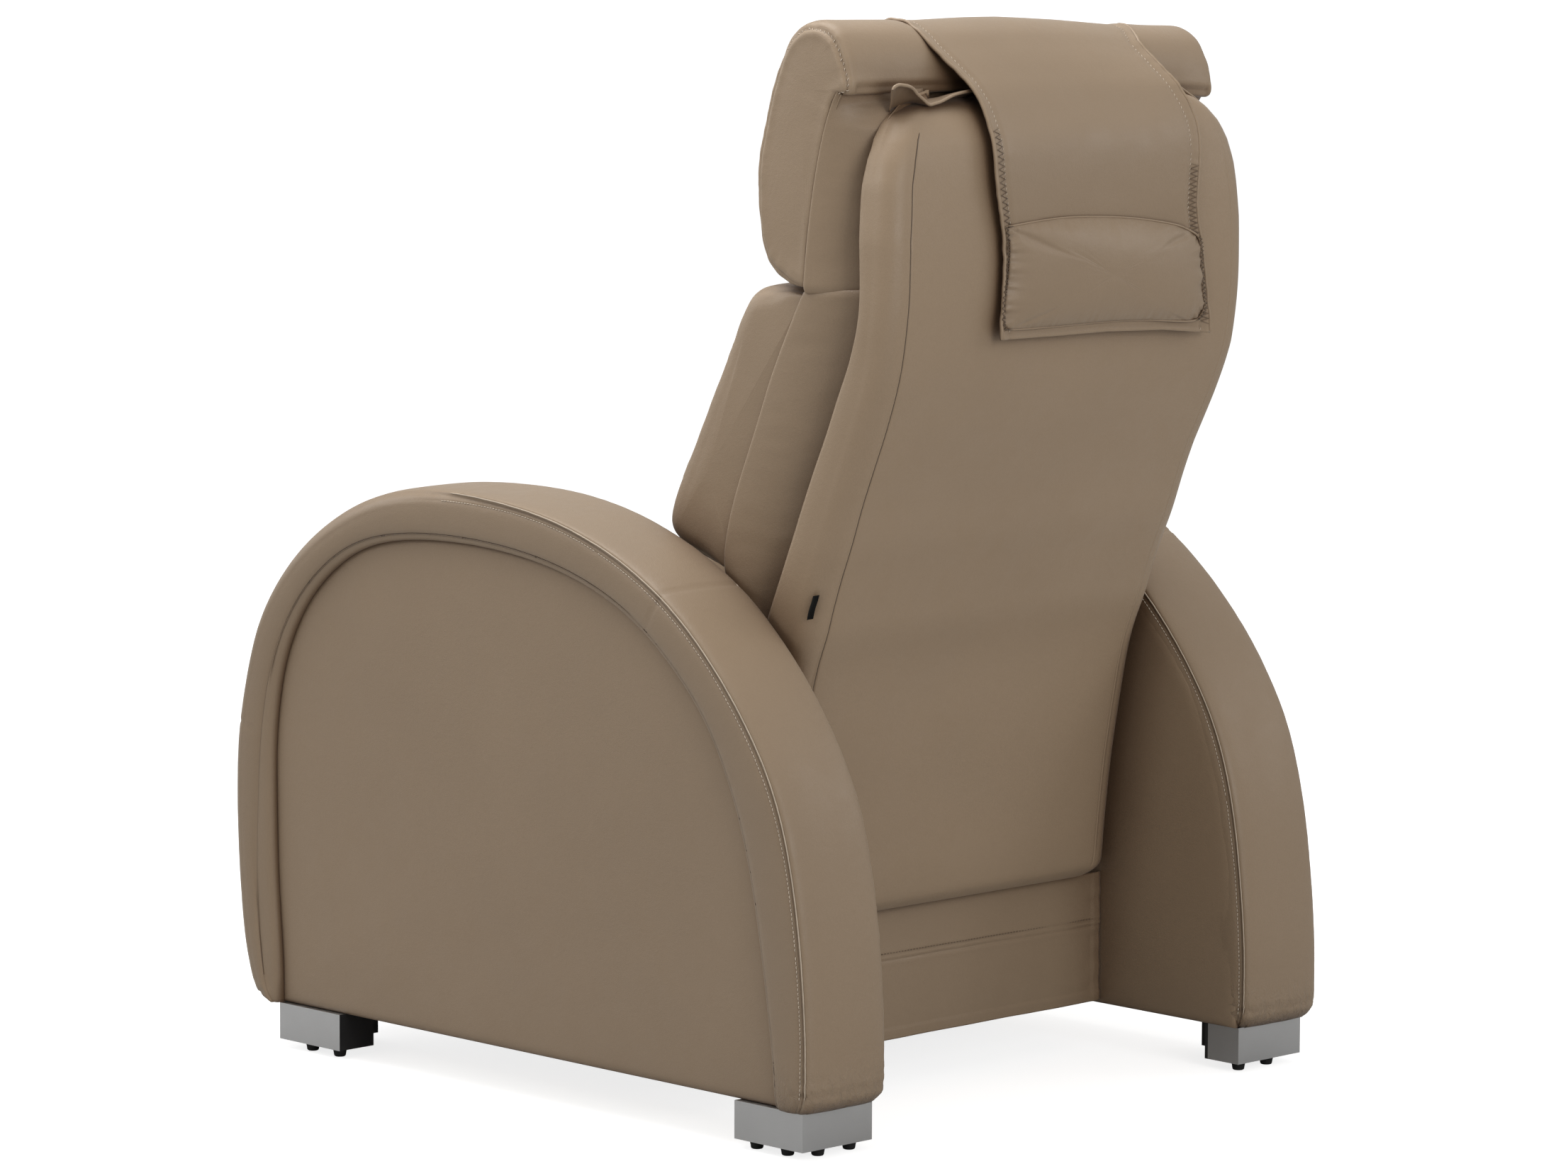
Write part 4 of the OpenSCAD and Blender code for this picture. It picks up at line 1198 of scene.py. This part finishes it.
def neck_strap():
    nu, nv = 190, 72
    P = resample(STRAP, nu)
    s = np.linspace(0, 1, nu)
    # runs: 0 front end, about .33 over the roll, about .5 shell top, 1 bottom hem
    z_left = [(0, 138), (.20, 148), (.306, 152), (.40, 156), (.44, 154), (.479, 146), (.524, 134), (.569, 128.5), (.624, 128), (.672, 129.5), (.717, 129), (.764, 124),
              (.802, 119), (.847, 117), (.895, 118), (.94, 119), (.972, 121), (1, 120)]
    z_right = [(0, -196), (.20, -203), (.30, -200), (.38, -186), (.43, -172), (.469, -173), (.509, -175), (.554, -180), (.591, -185), (.624, -188), (.652, -188), (.687, -186),
               (.734, -181), (.777, -179), (.81, -183), (.855, -191), (.902, -197), (.955, -203), (1, -206)]
    xl, xr = edge_x(s, z_left), edge_x(s, z_right)
    N = -normals2(P)
    # outward is away from the cushions
    if N[nu // 3, 1] < 0:
        N = -N
    G = np.zeros((nu, nv, 3))
    for j in range(nv):
        t = j / (nv - 1)
        x = xl * (1 - t) + xr * t
        cr = np.array([shell_crown(a, min(1089, max(210, z))) for a, z in zip(x, P[:, 1])]) * smooth01((s - 0.56) / 0.08)
        # bridging between the head roll and the shell's top: the free edges sag a little
        gap = -np.exp(-((s - 0.56) / 0.06) ** 2) * 3.0 * math.sin(math.pi * t)
        edge = min(t, 1 - t)
        curl = 1.6 * math.exp(-(edge / 0.018) ** 2)
        G[:, j, 0] = x
        G[:, j, 1] = P[:, 0] + N[:, 0] * (cr + gap + curl + 0.4)
        z = P[:, 1] + N[:, 1] * (cr + gap + curl + 0.4)
        G[:, j, 2] = z + head_tilt(x, z) * (1 - 0.45 * smooth01((P[:, 0] - 345) / 75))
    # the hem hangs a little lower at the right and bows
    t = np.linspace(0, 1, nv)[None, :]
    k = smooth01((s - 0.8) / 0.2)[:, None]
    hem_z = np.interp(t, [0, .25, .5, .77, 1], [841.5, 840.5, 840, 836, 828])
    G[:, :, 2] += k * (hem_z - 833.0)
    Q = G.reshape(-1, 3)
    tt = np.tile(np.linspace(0, 1, nv), nu)
    sss = np.repeat(s, nv)
    ee = np.minimum(tt, 1 - tt)
    n2 = np.repeat(N, nv, 0)
    amp = 1.3 * lump(Q * np.array([1, .8, .55]), 95, 2.2) + 0.35 * lump(Q, 38, 4.0)
    amp += 1.2 * np.exp(-ee / 0.03) * lump(Q * np.array([.3, 1, 1]), 12, 7.0)
    amp = np.maximum(amp, -0.9) * smooth01((sss - 0.02) / 0.05)
    Q[:, 1] += n2[:, 0] * amp
    Q[:, 2] += n2[:, 1] * amp
    V = W(Q)
    G = V.reshape(nu, nv, 3)
    o = make("neck_strap_leather", V, grid_faces(nu, nv), "leather_soft")
    hem = 3
    groove(o, G[:, hem], 0.0010, 0.0022, 0.0004, 0.0009, 0.010, 0.012, 1.0)
    groove(o, G[:, nv - 1 - hem], 0.0010, 0.0022, 0.0004, 0.0009, 0.010, 0.012, 2.0)
    groove(o, G[nu - 3, 2:nv - 2], 0.0008, 0.002, 0.0002, 0.0005, 0.012, 0.010, 3.0)
    c = coords(o)
    rail_l = c.reshape(nu, nv, 3)[:, hem].copy() if len(c) == nu * nv else G[:, hem]
    rail_r = c.reshape(nu, nv, 3)[:, nv - 1 - hem].copy() if len(c) == nu * nv else G[:, nv - 1 - hem]
    m = o.modifiers.new("sol", "SOLIDIFY")
    m.thickness = 0.0030
    n = vnormals(o)
    c = coords(o)
    rear = c[:, 1] > c[:, 1].max() - 0.03
    m.offset = -1 if n[rear, 1].mean() > 0 else 1
    apply_mods(o)
    done(o, "backrest", ["neck_strap"])
    nn = np.column_stack([np.zeros(nu), N])
    nn = np.column_stack([np.zeros(nu), N[:, 0], N[:, 1]])
    rows = []
    for nm, rail in (("left", rail_l), ("right", rail_r)):
        a = stitches(f"strap_{nm}_stitching", rail, nn, "backrest", "thread", 0.0052, 0.60, 0.00046, 0.0002, slant=0.25, skip=0.05)
        b = tube(f"strap_{nm}_edge_binding", (G[:, 0] if nm == "left" else G[:, -1]) - nn * 0.0012, 0.0021, "leather_soft", "backrest", 8)
        rows += [a, b]
        lo, hi = (0.62, 0.985) if nm == "left" else (0.70, 0.985)
        k0, k1 = int(lo * nu), int(hi * nu)
        q = resample(rail[k0:k1], 64)
        q2 = resample((G[:, 0] if nm == "left" else G[:, -1])[k0:k1], 64)
        zz = np.where((np.arange(64) % 2 == 0)[:, None], q, q2 * 0.8 + q * 0.2)
        zz[:, 1] += 0.0012
        rows.append(tube(f"strap_{nm}_overlock", zz, 0.00045, "thread_dark", "backrest", 6))
    W0 = float(np.linalg.norm(np.diff(G[nu // 2], axis=0), axis=1).sum())
    return o, G


STRAP_OBJ, STRAP_G = neck_strap()

PILLOW = np.array([[118, 960], [63, 964], [11, 965], [-68, 960], [-137, 950], [-168, 941], [-184, 930], [-187, 900], [-192, 868], [-194, 858], [-188, 848], [-172, 843],
                   [-100, 849], [-40, 851], [36, 851], [108, 852], [118, 858], [119, 880], [115, 905], [113, 935], [115, 955]], float)


def counterweight():
    """A slim pillow sewn on the strap's end: two layers joined round the edge, filled, its seams gathered."""
    B = resample(np.vstack([spl(PILLOW, 5), PILLOW[:1]]), 220)[:-1]
    C = B.mean(0)
    rs = np.r_[1, .985, .965, .94, .91, .87, .82, .76, .69, .61, .52, .42, .31, .2, .1]
    nb = len(B)
    V = []
    sc = np.array([1.0, 1.0])
    for r in rs:
        # superelliptic inner rings keep the pillow's corners
        P = C + (B - C) * r
        x, z = P[:, 0], P[:, 1]
        xl_ = np.interp(z, [843, 858, 880, 905, 935, 955, 965], [117, 118, 119, 115, 113, 115, 118])
        xr_ = np.interp(z, [843, 848, 858, 868, 900, 930, 941], [-186, -188, -194, -192, -187, -184, -180])
        zt_ = np.interp(x, [-187, -184, -168, -137, -68, 11, 63, 118], [925, 930, 941, 950, 960, 965, 964, 960])
        zb_ = np.interp(x, [-190, -188, -172, -100, -40, 36, 108, 118], [850, 848, 843, 849, 851, 851, 852, 858])
        u_ = np.clip(np.abs(2 * (x - xr_) / (xl_ - xr_) - 1), 0, 1)
        v_ = np.clip(np.abs(2 * (z - zb_) / (zt_ - zb_) - 1), 0, 1)
        h = 15.5 * (1 - u_ ** 4.0) ** 0.5 * (1 - v_ ** 2.6) ** 0.55
        y0 = strap_y(z)
        cr = np.array([shell_crown(a, max(210, min(1085, b))) for a, b in zip(x, z)])
        V.append(np.stack([x, y0 + cr + 1.6 + h, z], 1))
    x, z = C
    V.append(np.array([[x, 432 + 4 + 1.6 + 15.4, z]]))
    n1 = sum(len(v) for v in V)
    P = C + (B - C) * 0.99
    y0 = strap_y(P[:, 1])
    cr = np.array([shell_crown(a, b) for a, b in P])
    V.append(np.stack([P[:, 0], y0 + cr + 0.6, P[:, 1]], 1))
    V.append(np.array([[x, 436.5, z]]))
    Q = np.vstack(V)
    F = grid_faces(len(rs), nb, False, True)
    last = (len(rs) - 1) * nb
    for i in range(nb):
        F.append((last + i, last + (i + 1) % nb, n1 - 1))
        F.append((n1 + i, n1 + (i + 1) % nb, n1 + nb))
        F.append((i, (i + 1) % nb, n1 + (i + 1) % nb, n1 + i))
    o = make("counterweight_leather", W(Q), F, "leather_soft")
    if len(o.data.vertices) == len(Q):
        pins = np.zeros(len(Q))
        pins[:nb] = 1
        pins[n1:] = 1
        inflate(o, 0.007, 4.0, 20, pins)
    subdiv(o, 1)
    c, n = coords(o), vnormals(o)
    edge = W(np.column_stack([B[:, 0], np.full(nb, 438.0), B[:, 1]]))
    edge = np.vstack([edge, edge[:1]])
    d, s = dist_to(edge[:, [0, 2]], c[:, [0, 2]])
    front = c[:, 1] > 0.4500 + 0.0
    sidey = smooth01((np.abs(c[:, 0] * 1000 + 38) - 110) / 35)
    g = lump1(s, 0.0085, 0.4) + 0.6 * lump1(s, 0.004, 2.4)
    h = 0.0030 * g * np.exp(-d / 0.011) * (0.25 + 0.75 * sidey) * (1 - np.exp(-(d / 0.002) ** 2))
    h += 0.0009 * lump(c * 1000, 60, 3.0) * smooth01(d / 0.02)
    c += n * np.where(front, h, 0)[:, None]
    set_coords(o, c)
    done(o, "backrest", ["counterweight"])
    # overlocked side edges and the seam round the pillow
    P, N = project_path(o, edge[:, :], 0.0)
    loop = W(np.column_stack([B[:, 0], strap_y(B[:, 1]) + 5.0, B[:, 1]]))
    tube("counterweight_seam_cord", loop, 0.0013, "leather_soft", "backrest", 8, closed=True)
    m = (B[:, 0] > 105)
    left = loop[m][np.argsort(-loop[m][:, 2])]
    m2 = (B[:, 0] < -178)
    right = loop[m2][np.argsort(-loop[m2][:, 2])]
    for nm, q in (("left", left), ("right", right)):
        k = len(q)
        zig = q.copy()
        zz = resample(q, 46)
        off = np.where(np.arange(46) % 2 == 0, 0.0026, -0.0016)
        sgn = 1 if nm == "left" else -1
        zz[:, 0] += off * sgn
        zz[:, 1] += 0.0026
        tube(f"counterweight_{nm}_overlock", zz, 0.00055, "thread_dark", "backrest", 6)
    return o


counterweight()


def flap_lobe(name, pts, y_pts, sg_seed, replace=False):
    """Loose end of leather standing up from the shell's top edge: upper edge pts (X, Z), base on the shell."""
    U = resample(spl(pts, 6), 70)
    nv = 14
    G = np.zeros((70, nv, 3))
    for j in range(nv):
        t = j / (nv - 1)
        for i in range(70):
            x, z = U[i]
            zb = 1092.5 - np.interp(abs(x), [172, 200, 220, 243], [0, 2.6, 8.0, 22.0])
            yb = 372
            yt = y_pts[0] + (y_pts[1] - y_pts[0]) * i / 69
            bend = math.sin(math.pi * t * 0.5)
            xb = x if abs(x) < 205 else math.copysign(205 + (abs(x) - 205) * 0.45, x)
            zb = 1092.5 - float(np.interp(abs(xb), [172, 200, 220, 243], [0, 2.6, 8.0, 22.0]))
            G[i, j] = (xb + (x - xb) * t ** 1.4 + 0.8 * math.sin(3 * t + i * .1), yb + (yt - yb) * t, zb + (z - zb) * bend)
    P = G.reshape(-1, 3)
    P[:, 1] += 1.0 * lump(P, 26, sg_seed)
    P[:, 2] += 0.5 * lump(P, 24, sg_seed + 2)
    V = W(P)
    o = make(name, V, grid_faces(70, nv), "leather_soft")
    m = o.modifiers.new("sol", "SOLIDIFY")
    m.thickness = 0.0022
    m.offset = 0
    apply_mods(o)
    done(o, "backrest", ["top_flap"] if replace else [])
    hem = tube(name + "_hem", V.reshape(70, nv, 3)[:, -1], 0.0018, "leather_soft", "backrest", 8)
    return o


flap_lobe("top_flap_left", [[248, 1107], [244, 1110], [238, 1111.5], [232, 1111], [224, 1110], [216, 1107], [209, 1101], [200, 1095], [190, 1089], [180, 1090], [169, 1092], [149, 1098],
                            [125, 1101], [112, 1101]], (400, 394), 3.0, True)
flap_lobe("top_flap_right", [[-176, 1096], [-184, 1098], [-192, 1096], [-204, 1090], [-216, 1083], [-228, 1076], [-240, 1066]], (388, 392), 6.0)


def skirt():
    nu, nv = 200, 84
    xs = np.linspace(-277, 277, nu)
    zs = np.linspace(201.7, 55.5, nv)
    G = np.zeros((nu, nv, 3))
    for i, x in enumerate(xs):
        G[i, :, 0] = x
        G[i, :, 1] = 214.0
        G[i, :, 2] = zs
    P = G.reshape(-1, 3)
    low = smooth01((203 - P[:, 2]) / 60)
    P[:, 1] += (1.6 * lump(P * np.array([1, 1, .3]), 90, 5.0) + 0.5 * lump(P * np.array([1, 1, .5]), 35, 2.0)) * low
    right = smooth01((-P[:, 0] - 250) / 25)
    P[:, 1] += right * 1.2 * lump(P * np.array([.4, 1, 1.4]), 14, 3.0)
    # turned-up hem: the lowest 12 mm is double and stands a little proud
    P[:, 1] += 0.8 * smooth01((68 - P[:, 2]) / 1.5)
    P[:, 1] += 0.7 * smooth01((-264.5 - P[:, 0]) / 1.5) + 0.7 * smooth01((P[:, 0] - 264.5) / 1.5)
    V = W(P)
    o = make("rear_skirt_leather", V, grid_faces(nu, nv), "leather_soft")
    area = sum(f.area for f in o.data.polygons)
    lines = []
    for z in (149, 143.5):
        line = W(np.column_stack([np.linspace(-276, 276, 120), np.full(120, 214.0), np.full(120, z) + np.linspace(-1.5, 1.5, 120)]))
        groove(o, line, 0.0011 if z > 146 else 0.0015, 0.0017, 0.0004, 0.0002, 0.02, 0.008, z)
        lines.append(line)
    m = o.modifiers.new("sol", "SOLIDIFY")
    m.thickness = 0.0022
    m.offset = 0
    apply_mods(o)
    done(o, "rear_skirt", ["rear_skirt"])
    P2, N2 = project_path(o, lines[0])
    N2[:] = (0, 1, 0)
    P2[:, 1] = np.maximum(P2[:, 1], (214 + SY) / 1000)
    st = stitches("rear_skirt_stitching", lines[0] + np.array([0, 0.0014, 0.0018]), N2, "rear_skirt", "thread_dark", 0.0045, 0.62, 0.00034, 0.0, skip=0.02)
    return o


skirt()


# blank woven tag in the side seam
def tag():
    nu, nv = 26, 10
    A, B = np.array([306.5, 573.0]), np.array([298.0, 547.0])
    V = []
    for i in range(nu):
        t = i / (nu - 1)
        p = B + (A - B) * t
        for j in range(nv):
            u = j / (nv - 1)
            V.append((269.6 + 1.8 * math.sin(math.pi * u) + 0.6 * math.sin(5 * t), p[0] + 9.0 * u + 3.0, p[1] + 2.2 * u - 1))
    o = make("blank_side_label", W(V), grid_faces(nu, nv), "label")
    m = o.modifiers.new("sol", "SOLIDIFY")
    m.thickness = 0.0009
    m.offset = 0
    apply_mods(o)
    done(o, "backrest", ["side_label"])


tag()


# ------------------------------------------------------------------ stitching on the cushions
def ring_part(path, keep):
    return path[[i for i, p in enumerate(path) if keep(p * 1000 - np.array([0, SY, 0]))]]


def stitch_on(o, name, path, body, mat="thread", **kw):
    if len(path) < 3:
        return
    P, N = project_path(o, resample(path, max(20, int(length(path) / 0.004))))
    stitches(name, P, N, body, mat, **kw)


def run_of(path, keep):
    """Longest unbroken stretch of a closed path whose points pass keep."""
    ok = np.array([bool(keep(p * 1000 - np.array([0, SY, 0]))) for p in path])
    n = len(ok)
    if ok.all():
        return path
    start = int(np.where(~ok)[0][0])
    order = [(start + i) % n for i in range(n)]
    best, cur = [], []
    for i in order:
        if ok[i]:
            cur.append(i)
            if len(cur) > len(best):
                best = list(cur)
        else:
            cur = []
    return path[best]


for nm, q in (("right", head_paths[1]), ("left", head_paths[0])):
    seg = run_of(q[:-1], lambda p: p[2] > 1095 and p[1] > 268)
    stitch_on(HEAD, f"head_{nm}_end_stitching", seg, "backrest", "thread", pitch=0.0058, share=0.5, r=0.00055, skip=0.05, slant=0.35)
for nm, q in (("front", xline((-425, 457), -258, 258)), ):
    P, N = project_path(SEAT, q)
    P[:, 1] += 0.004
    stitch_on(SEAT, f"seat_{nm}_stitching", P, "root", "thread", pitch=0.005)
for k, zz in enumerate(((-468, 170), (-467, 245))):
    q = xline(zz, -252, 252)
    q[:, 2] += 0.004
    stitch_on(LEG, f"leg_pad_stitching_{k + 1}", q, "leg_rest", "thread", pitch=0.005)
for k, zz in enumerate(((167, 822), (98, 690))):
    q = xline(zz, -255, 255)
    q[:, 2] += 0.004
    stitch_on(LUMBAR, f"lumbar_stitching_{k + 1}", q, "backrest", "thread", pitch=0.005)


# ------------------------------------------------------------------ front border
def front_border():
    nu, nv = 120, 30
    G = np.zeros((nu, nv, 3))
    xs = np.linspace(-255, 255, nu)
    for i, x in enumerate(xs):
        low = 338 if abs(x) < 231 else 366
        zz = np.linspace(low, 386, nv)
        for j, z in enumerate(zz):
            G[i, j] = (x, -405.5 - 1.5 * math.sin(math.pi * j / (nv - 1)), z)
    P = G.reshape(-1, 3)
    P[:, 1] += 0.5 * lump(P, 40, 1.0)
    o = make("front_border_leather", W(P), grid_faces(nu, nv), "leather")
    m = o.modifiers.new("sol", "SOLIDIFY")
    m.thickness = 0.011
    m.offset = -1 if vnormals(o)[:, 1].mean() < 0 else 1
    apply_mods(o)
    b = o.modifiers.new("bev", "BEVEL")
    b.width = 0.0012
    b.segments = 2
    b.limit_method = "ANGLE"
    apply_mods(o)
    o.data.shade_smooth()
    done(o, "root", ["front_border"])


front_border()


# ------------------------------------------------------------------ feet and hard parts
def studs():
    lo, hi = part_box("foot_studs")
    prof = [(0, 0), (5.2, 0), (6.1, .5), (6.6, 1.4), (7.1, 4.5), (7.7, 7.6), (8.0, 9.0), (8.0, 10.2), (0, 10.2)]
    V, F = [], []
    for sx in (1, -1):
        for sy in (1, -1):
            for dx, dy in ((16, 38), (16, 84), (38, 16), (84, 16)):
                cx, cy = sx * (388 - dx), sy * (418 - dy)
                b = len(V)
                n = 28
                for r, z in prof:
                    for a in range(n):
                        th = 2 * math.pi * a / n
                        V.append((cx + r * math.cos(th), cy + r * math.sin(th), z))
                F += grid_faces(len(prof), n, False, True, b)
    o = make("foot_studs_rubber", W(V), F, "rubber")
    done(o, "root", ["foot_studs"])


studs()

NODE_MATS = {
    "steel": ["recline_pins", "leg_pins", "recline_rod", "leg_rod", "guide_rails", "lead_screw", "kneading_shaft", "foot_bolts"],
    "painted": ["seat_rails", "cross_tubes", "recline_brackets", "leg_brackets", "leg_frame", "back_frame"],
    "spring": ["seat_springs"],
    "black": ["recline_actuator", "leg_actuator", "control_box", "power_inlet", "control_panel", "screw_motor", "kneading_motor", "foot_liners"],
    "grey": ["carriage"],
    "roller": ["left_roller", "right_roller"],
    "button": ["power_button", "recline_button", "leg_button"],
    "wood": ["left_arm_frame", "right_arm_frame", "left_base_board", "right_base_board"],
    "front_foot": ["front_left_foot", "front_right_foot"],
    "aluminium": ["rear_left_foot", "rear_right_foot"],
    "cloth": ["dust_cover"],
}
BEVELS = {"aluminium": 0.0016, "front_foot": 0.0016, "black": 0.0012, "grey": 0.001, "button": 0.0008, "painted": 0.0008, "wood": 0.001, "roller": 0.0012}
for key, names in NODE_MATS.items():
    for nm in names:
        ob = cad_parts[nm]
        if not ob.material_slots:
            ob.data.materials.append(M[key])
        for s in ob.material_slots:
            s.link = "OBJECT"
            s.material = M[key]
        if key in BEVELS:
            b = ob.modifiers.new("edge", "BEVEL")
            b.width = BEVELS[key]
            b.segments = 3
            b.limit_method = "ANGLE"
            b.angle_limit = math.radians(40)
            b.use_clamp_overlap = True

# ------------------------------------------------------------------ stage and light
def stage():
    me = bpy.data.meshes.new("floor")
    R, n = 14.0, 40
    me.from_pydata([(-R, -R, 0), (R, -R, 0), (R, R, 0), (-R, R, 0)], [], [(0, 1, 2, 3)])
    o = bpy.data.objects.new("floor", me)
    SC.collection.objects.link(o)
    k = Nodes("mat_floor")
    a = k.noise(0.8, 2.0)
    r = k.ramp(a, "Fac", [(0.3, (0.50, 0.50, 0.50)), (0.7, (0.53, 0.53, 0.53))])
    k.link(r, "Color", k.b, "Base Color")
    k.b.inputs["Roughness"].default_value = 0.9
    k.b.inputs["Specular IOR Level"].default_value = 0.05
    # a lit paper sweep: its own glow keeps the shadow pale, but lights nothing else
    lp = k.add("ShaderNodeLightPath")
    glow = k.add("ShaderNodeEmission")
    glow.inputs["Color"].default_value = (1, 1, 1, 1)
    glow.inputs["Strength"].default_value = 0.80
    add = k.add("ShaderNodeAddShader")
    k.link(k.b, "BSDF", add, 0)
    k.link(glow, "Emission", add, 1)
    pick = k.add("ShaderNodeMixShader")
    k.link(lp, "Is Camera Ray", pick, 0)
    k.link(k.b, "BSDF", pick, 1)
    k.link(add, "Shader", pick, 2)
    k.link(pick, "Shader", k.out, "Surface")
    me.materials.append(k.m)


def area(name, loc, target, size, power, col=(1, 1, 1), size_y=None):
    d = bpy.data.lights.new(name, "AREA")
    d.energy = power
    d.color = col
    d.size = size
    if size_y:
        d.shape = "RECTANGLE"
        d.size_y = size_y
    o = bpy.data.objects.new(name, d)
    SC.collection.objects.link(o)
    o.location = loc
    o.rotation_mode = "QUATERNION"
    o.rotation_quaternion = (Vector(target) - Vector(loc)).to_track_quat("-Z", "Y")
    return o


def lights():
    w = bpy.data.worlds.new("studio")
    SC.world = w
    w.use_nodes = True
    t = w.node_tree
    t.nodes.clear()
    out = t.nodes.new("ShaderNodeOutputWorld")
    bg = t.nodes.new("ShaderNodeBackground")
    bg.inputs["Color"].default_value = (1.0, 0.985, 0.96, 1)
    bg.inputs["Strength"].default_value = 0.46
    cam = t.nodes.new("ShaderNodeBackground")
    cam.inputs["Color"].default_value = (1, 1, 1, 1)
    cam.inputs["Strength"].default_value = 1.2
    lp = t.nodes.new("ShaderNodeLightPath")
    mx = t.nodes.new("ShaderNodeMixShader")
    t.links.new(lp.outputs["Is Camera Ray"], mx.inputs[0])
    t.links.new(bg.outputs[0], mx.inputs[1])
    t.links.new(cam.outputs[0], mx.inputs[2])
    t.links.new(mx.outputs[0], out.inputs["Surface"])
    area("top_soft", (0.35, -0.35, 2.9), (0, 0.05, 0.4), 2.3, 58, (1, 0.995, 0.985), 2.1)
    area("camera_side_fill", (1.2, 5.2, 1.9), (0, 0.1, 0.75), 2.4, 80, (1, 0.985, 0.965))
    area("right_rim", (-3.4, 3.0, 2.2), (0, 0.2, 0.75), 1.8, 20, (1, 1, 1))
    area("front_soft", (1.8, -4.2, 2.6), (0, 0, 0.6), 2.4, 46, (1, 1, 1))
    u = area("upper_left", (3.1, -0.9, 2.3), (0.25, 0.05, 1.25), 1.0, 2.2, (1, 0.985, 0.96))
    u.data.spread = math.radians(50)


stage()
lights()
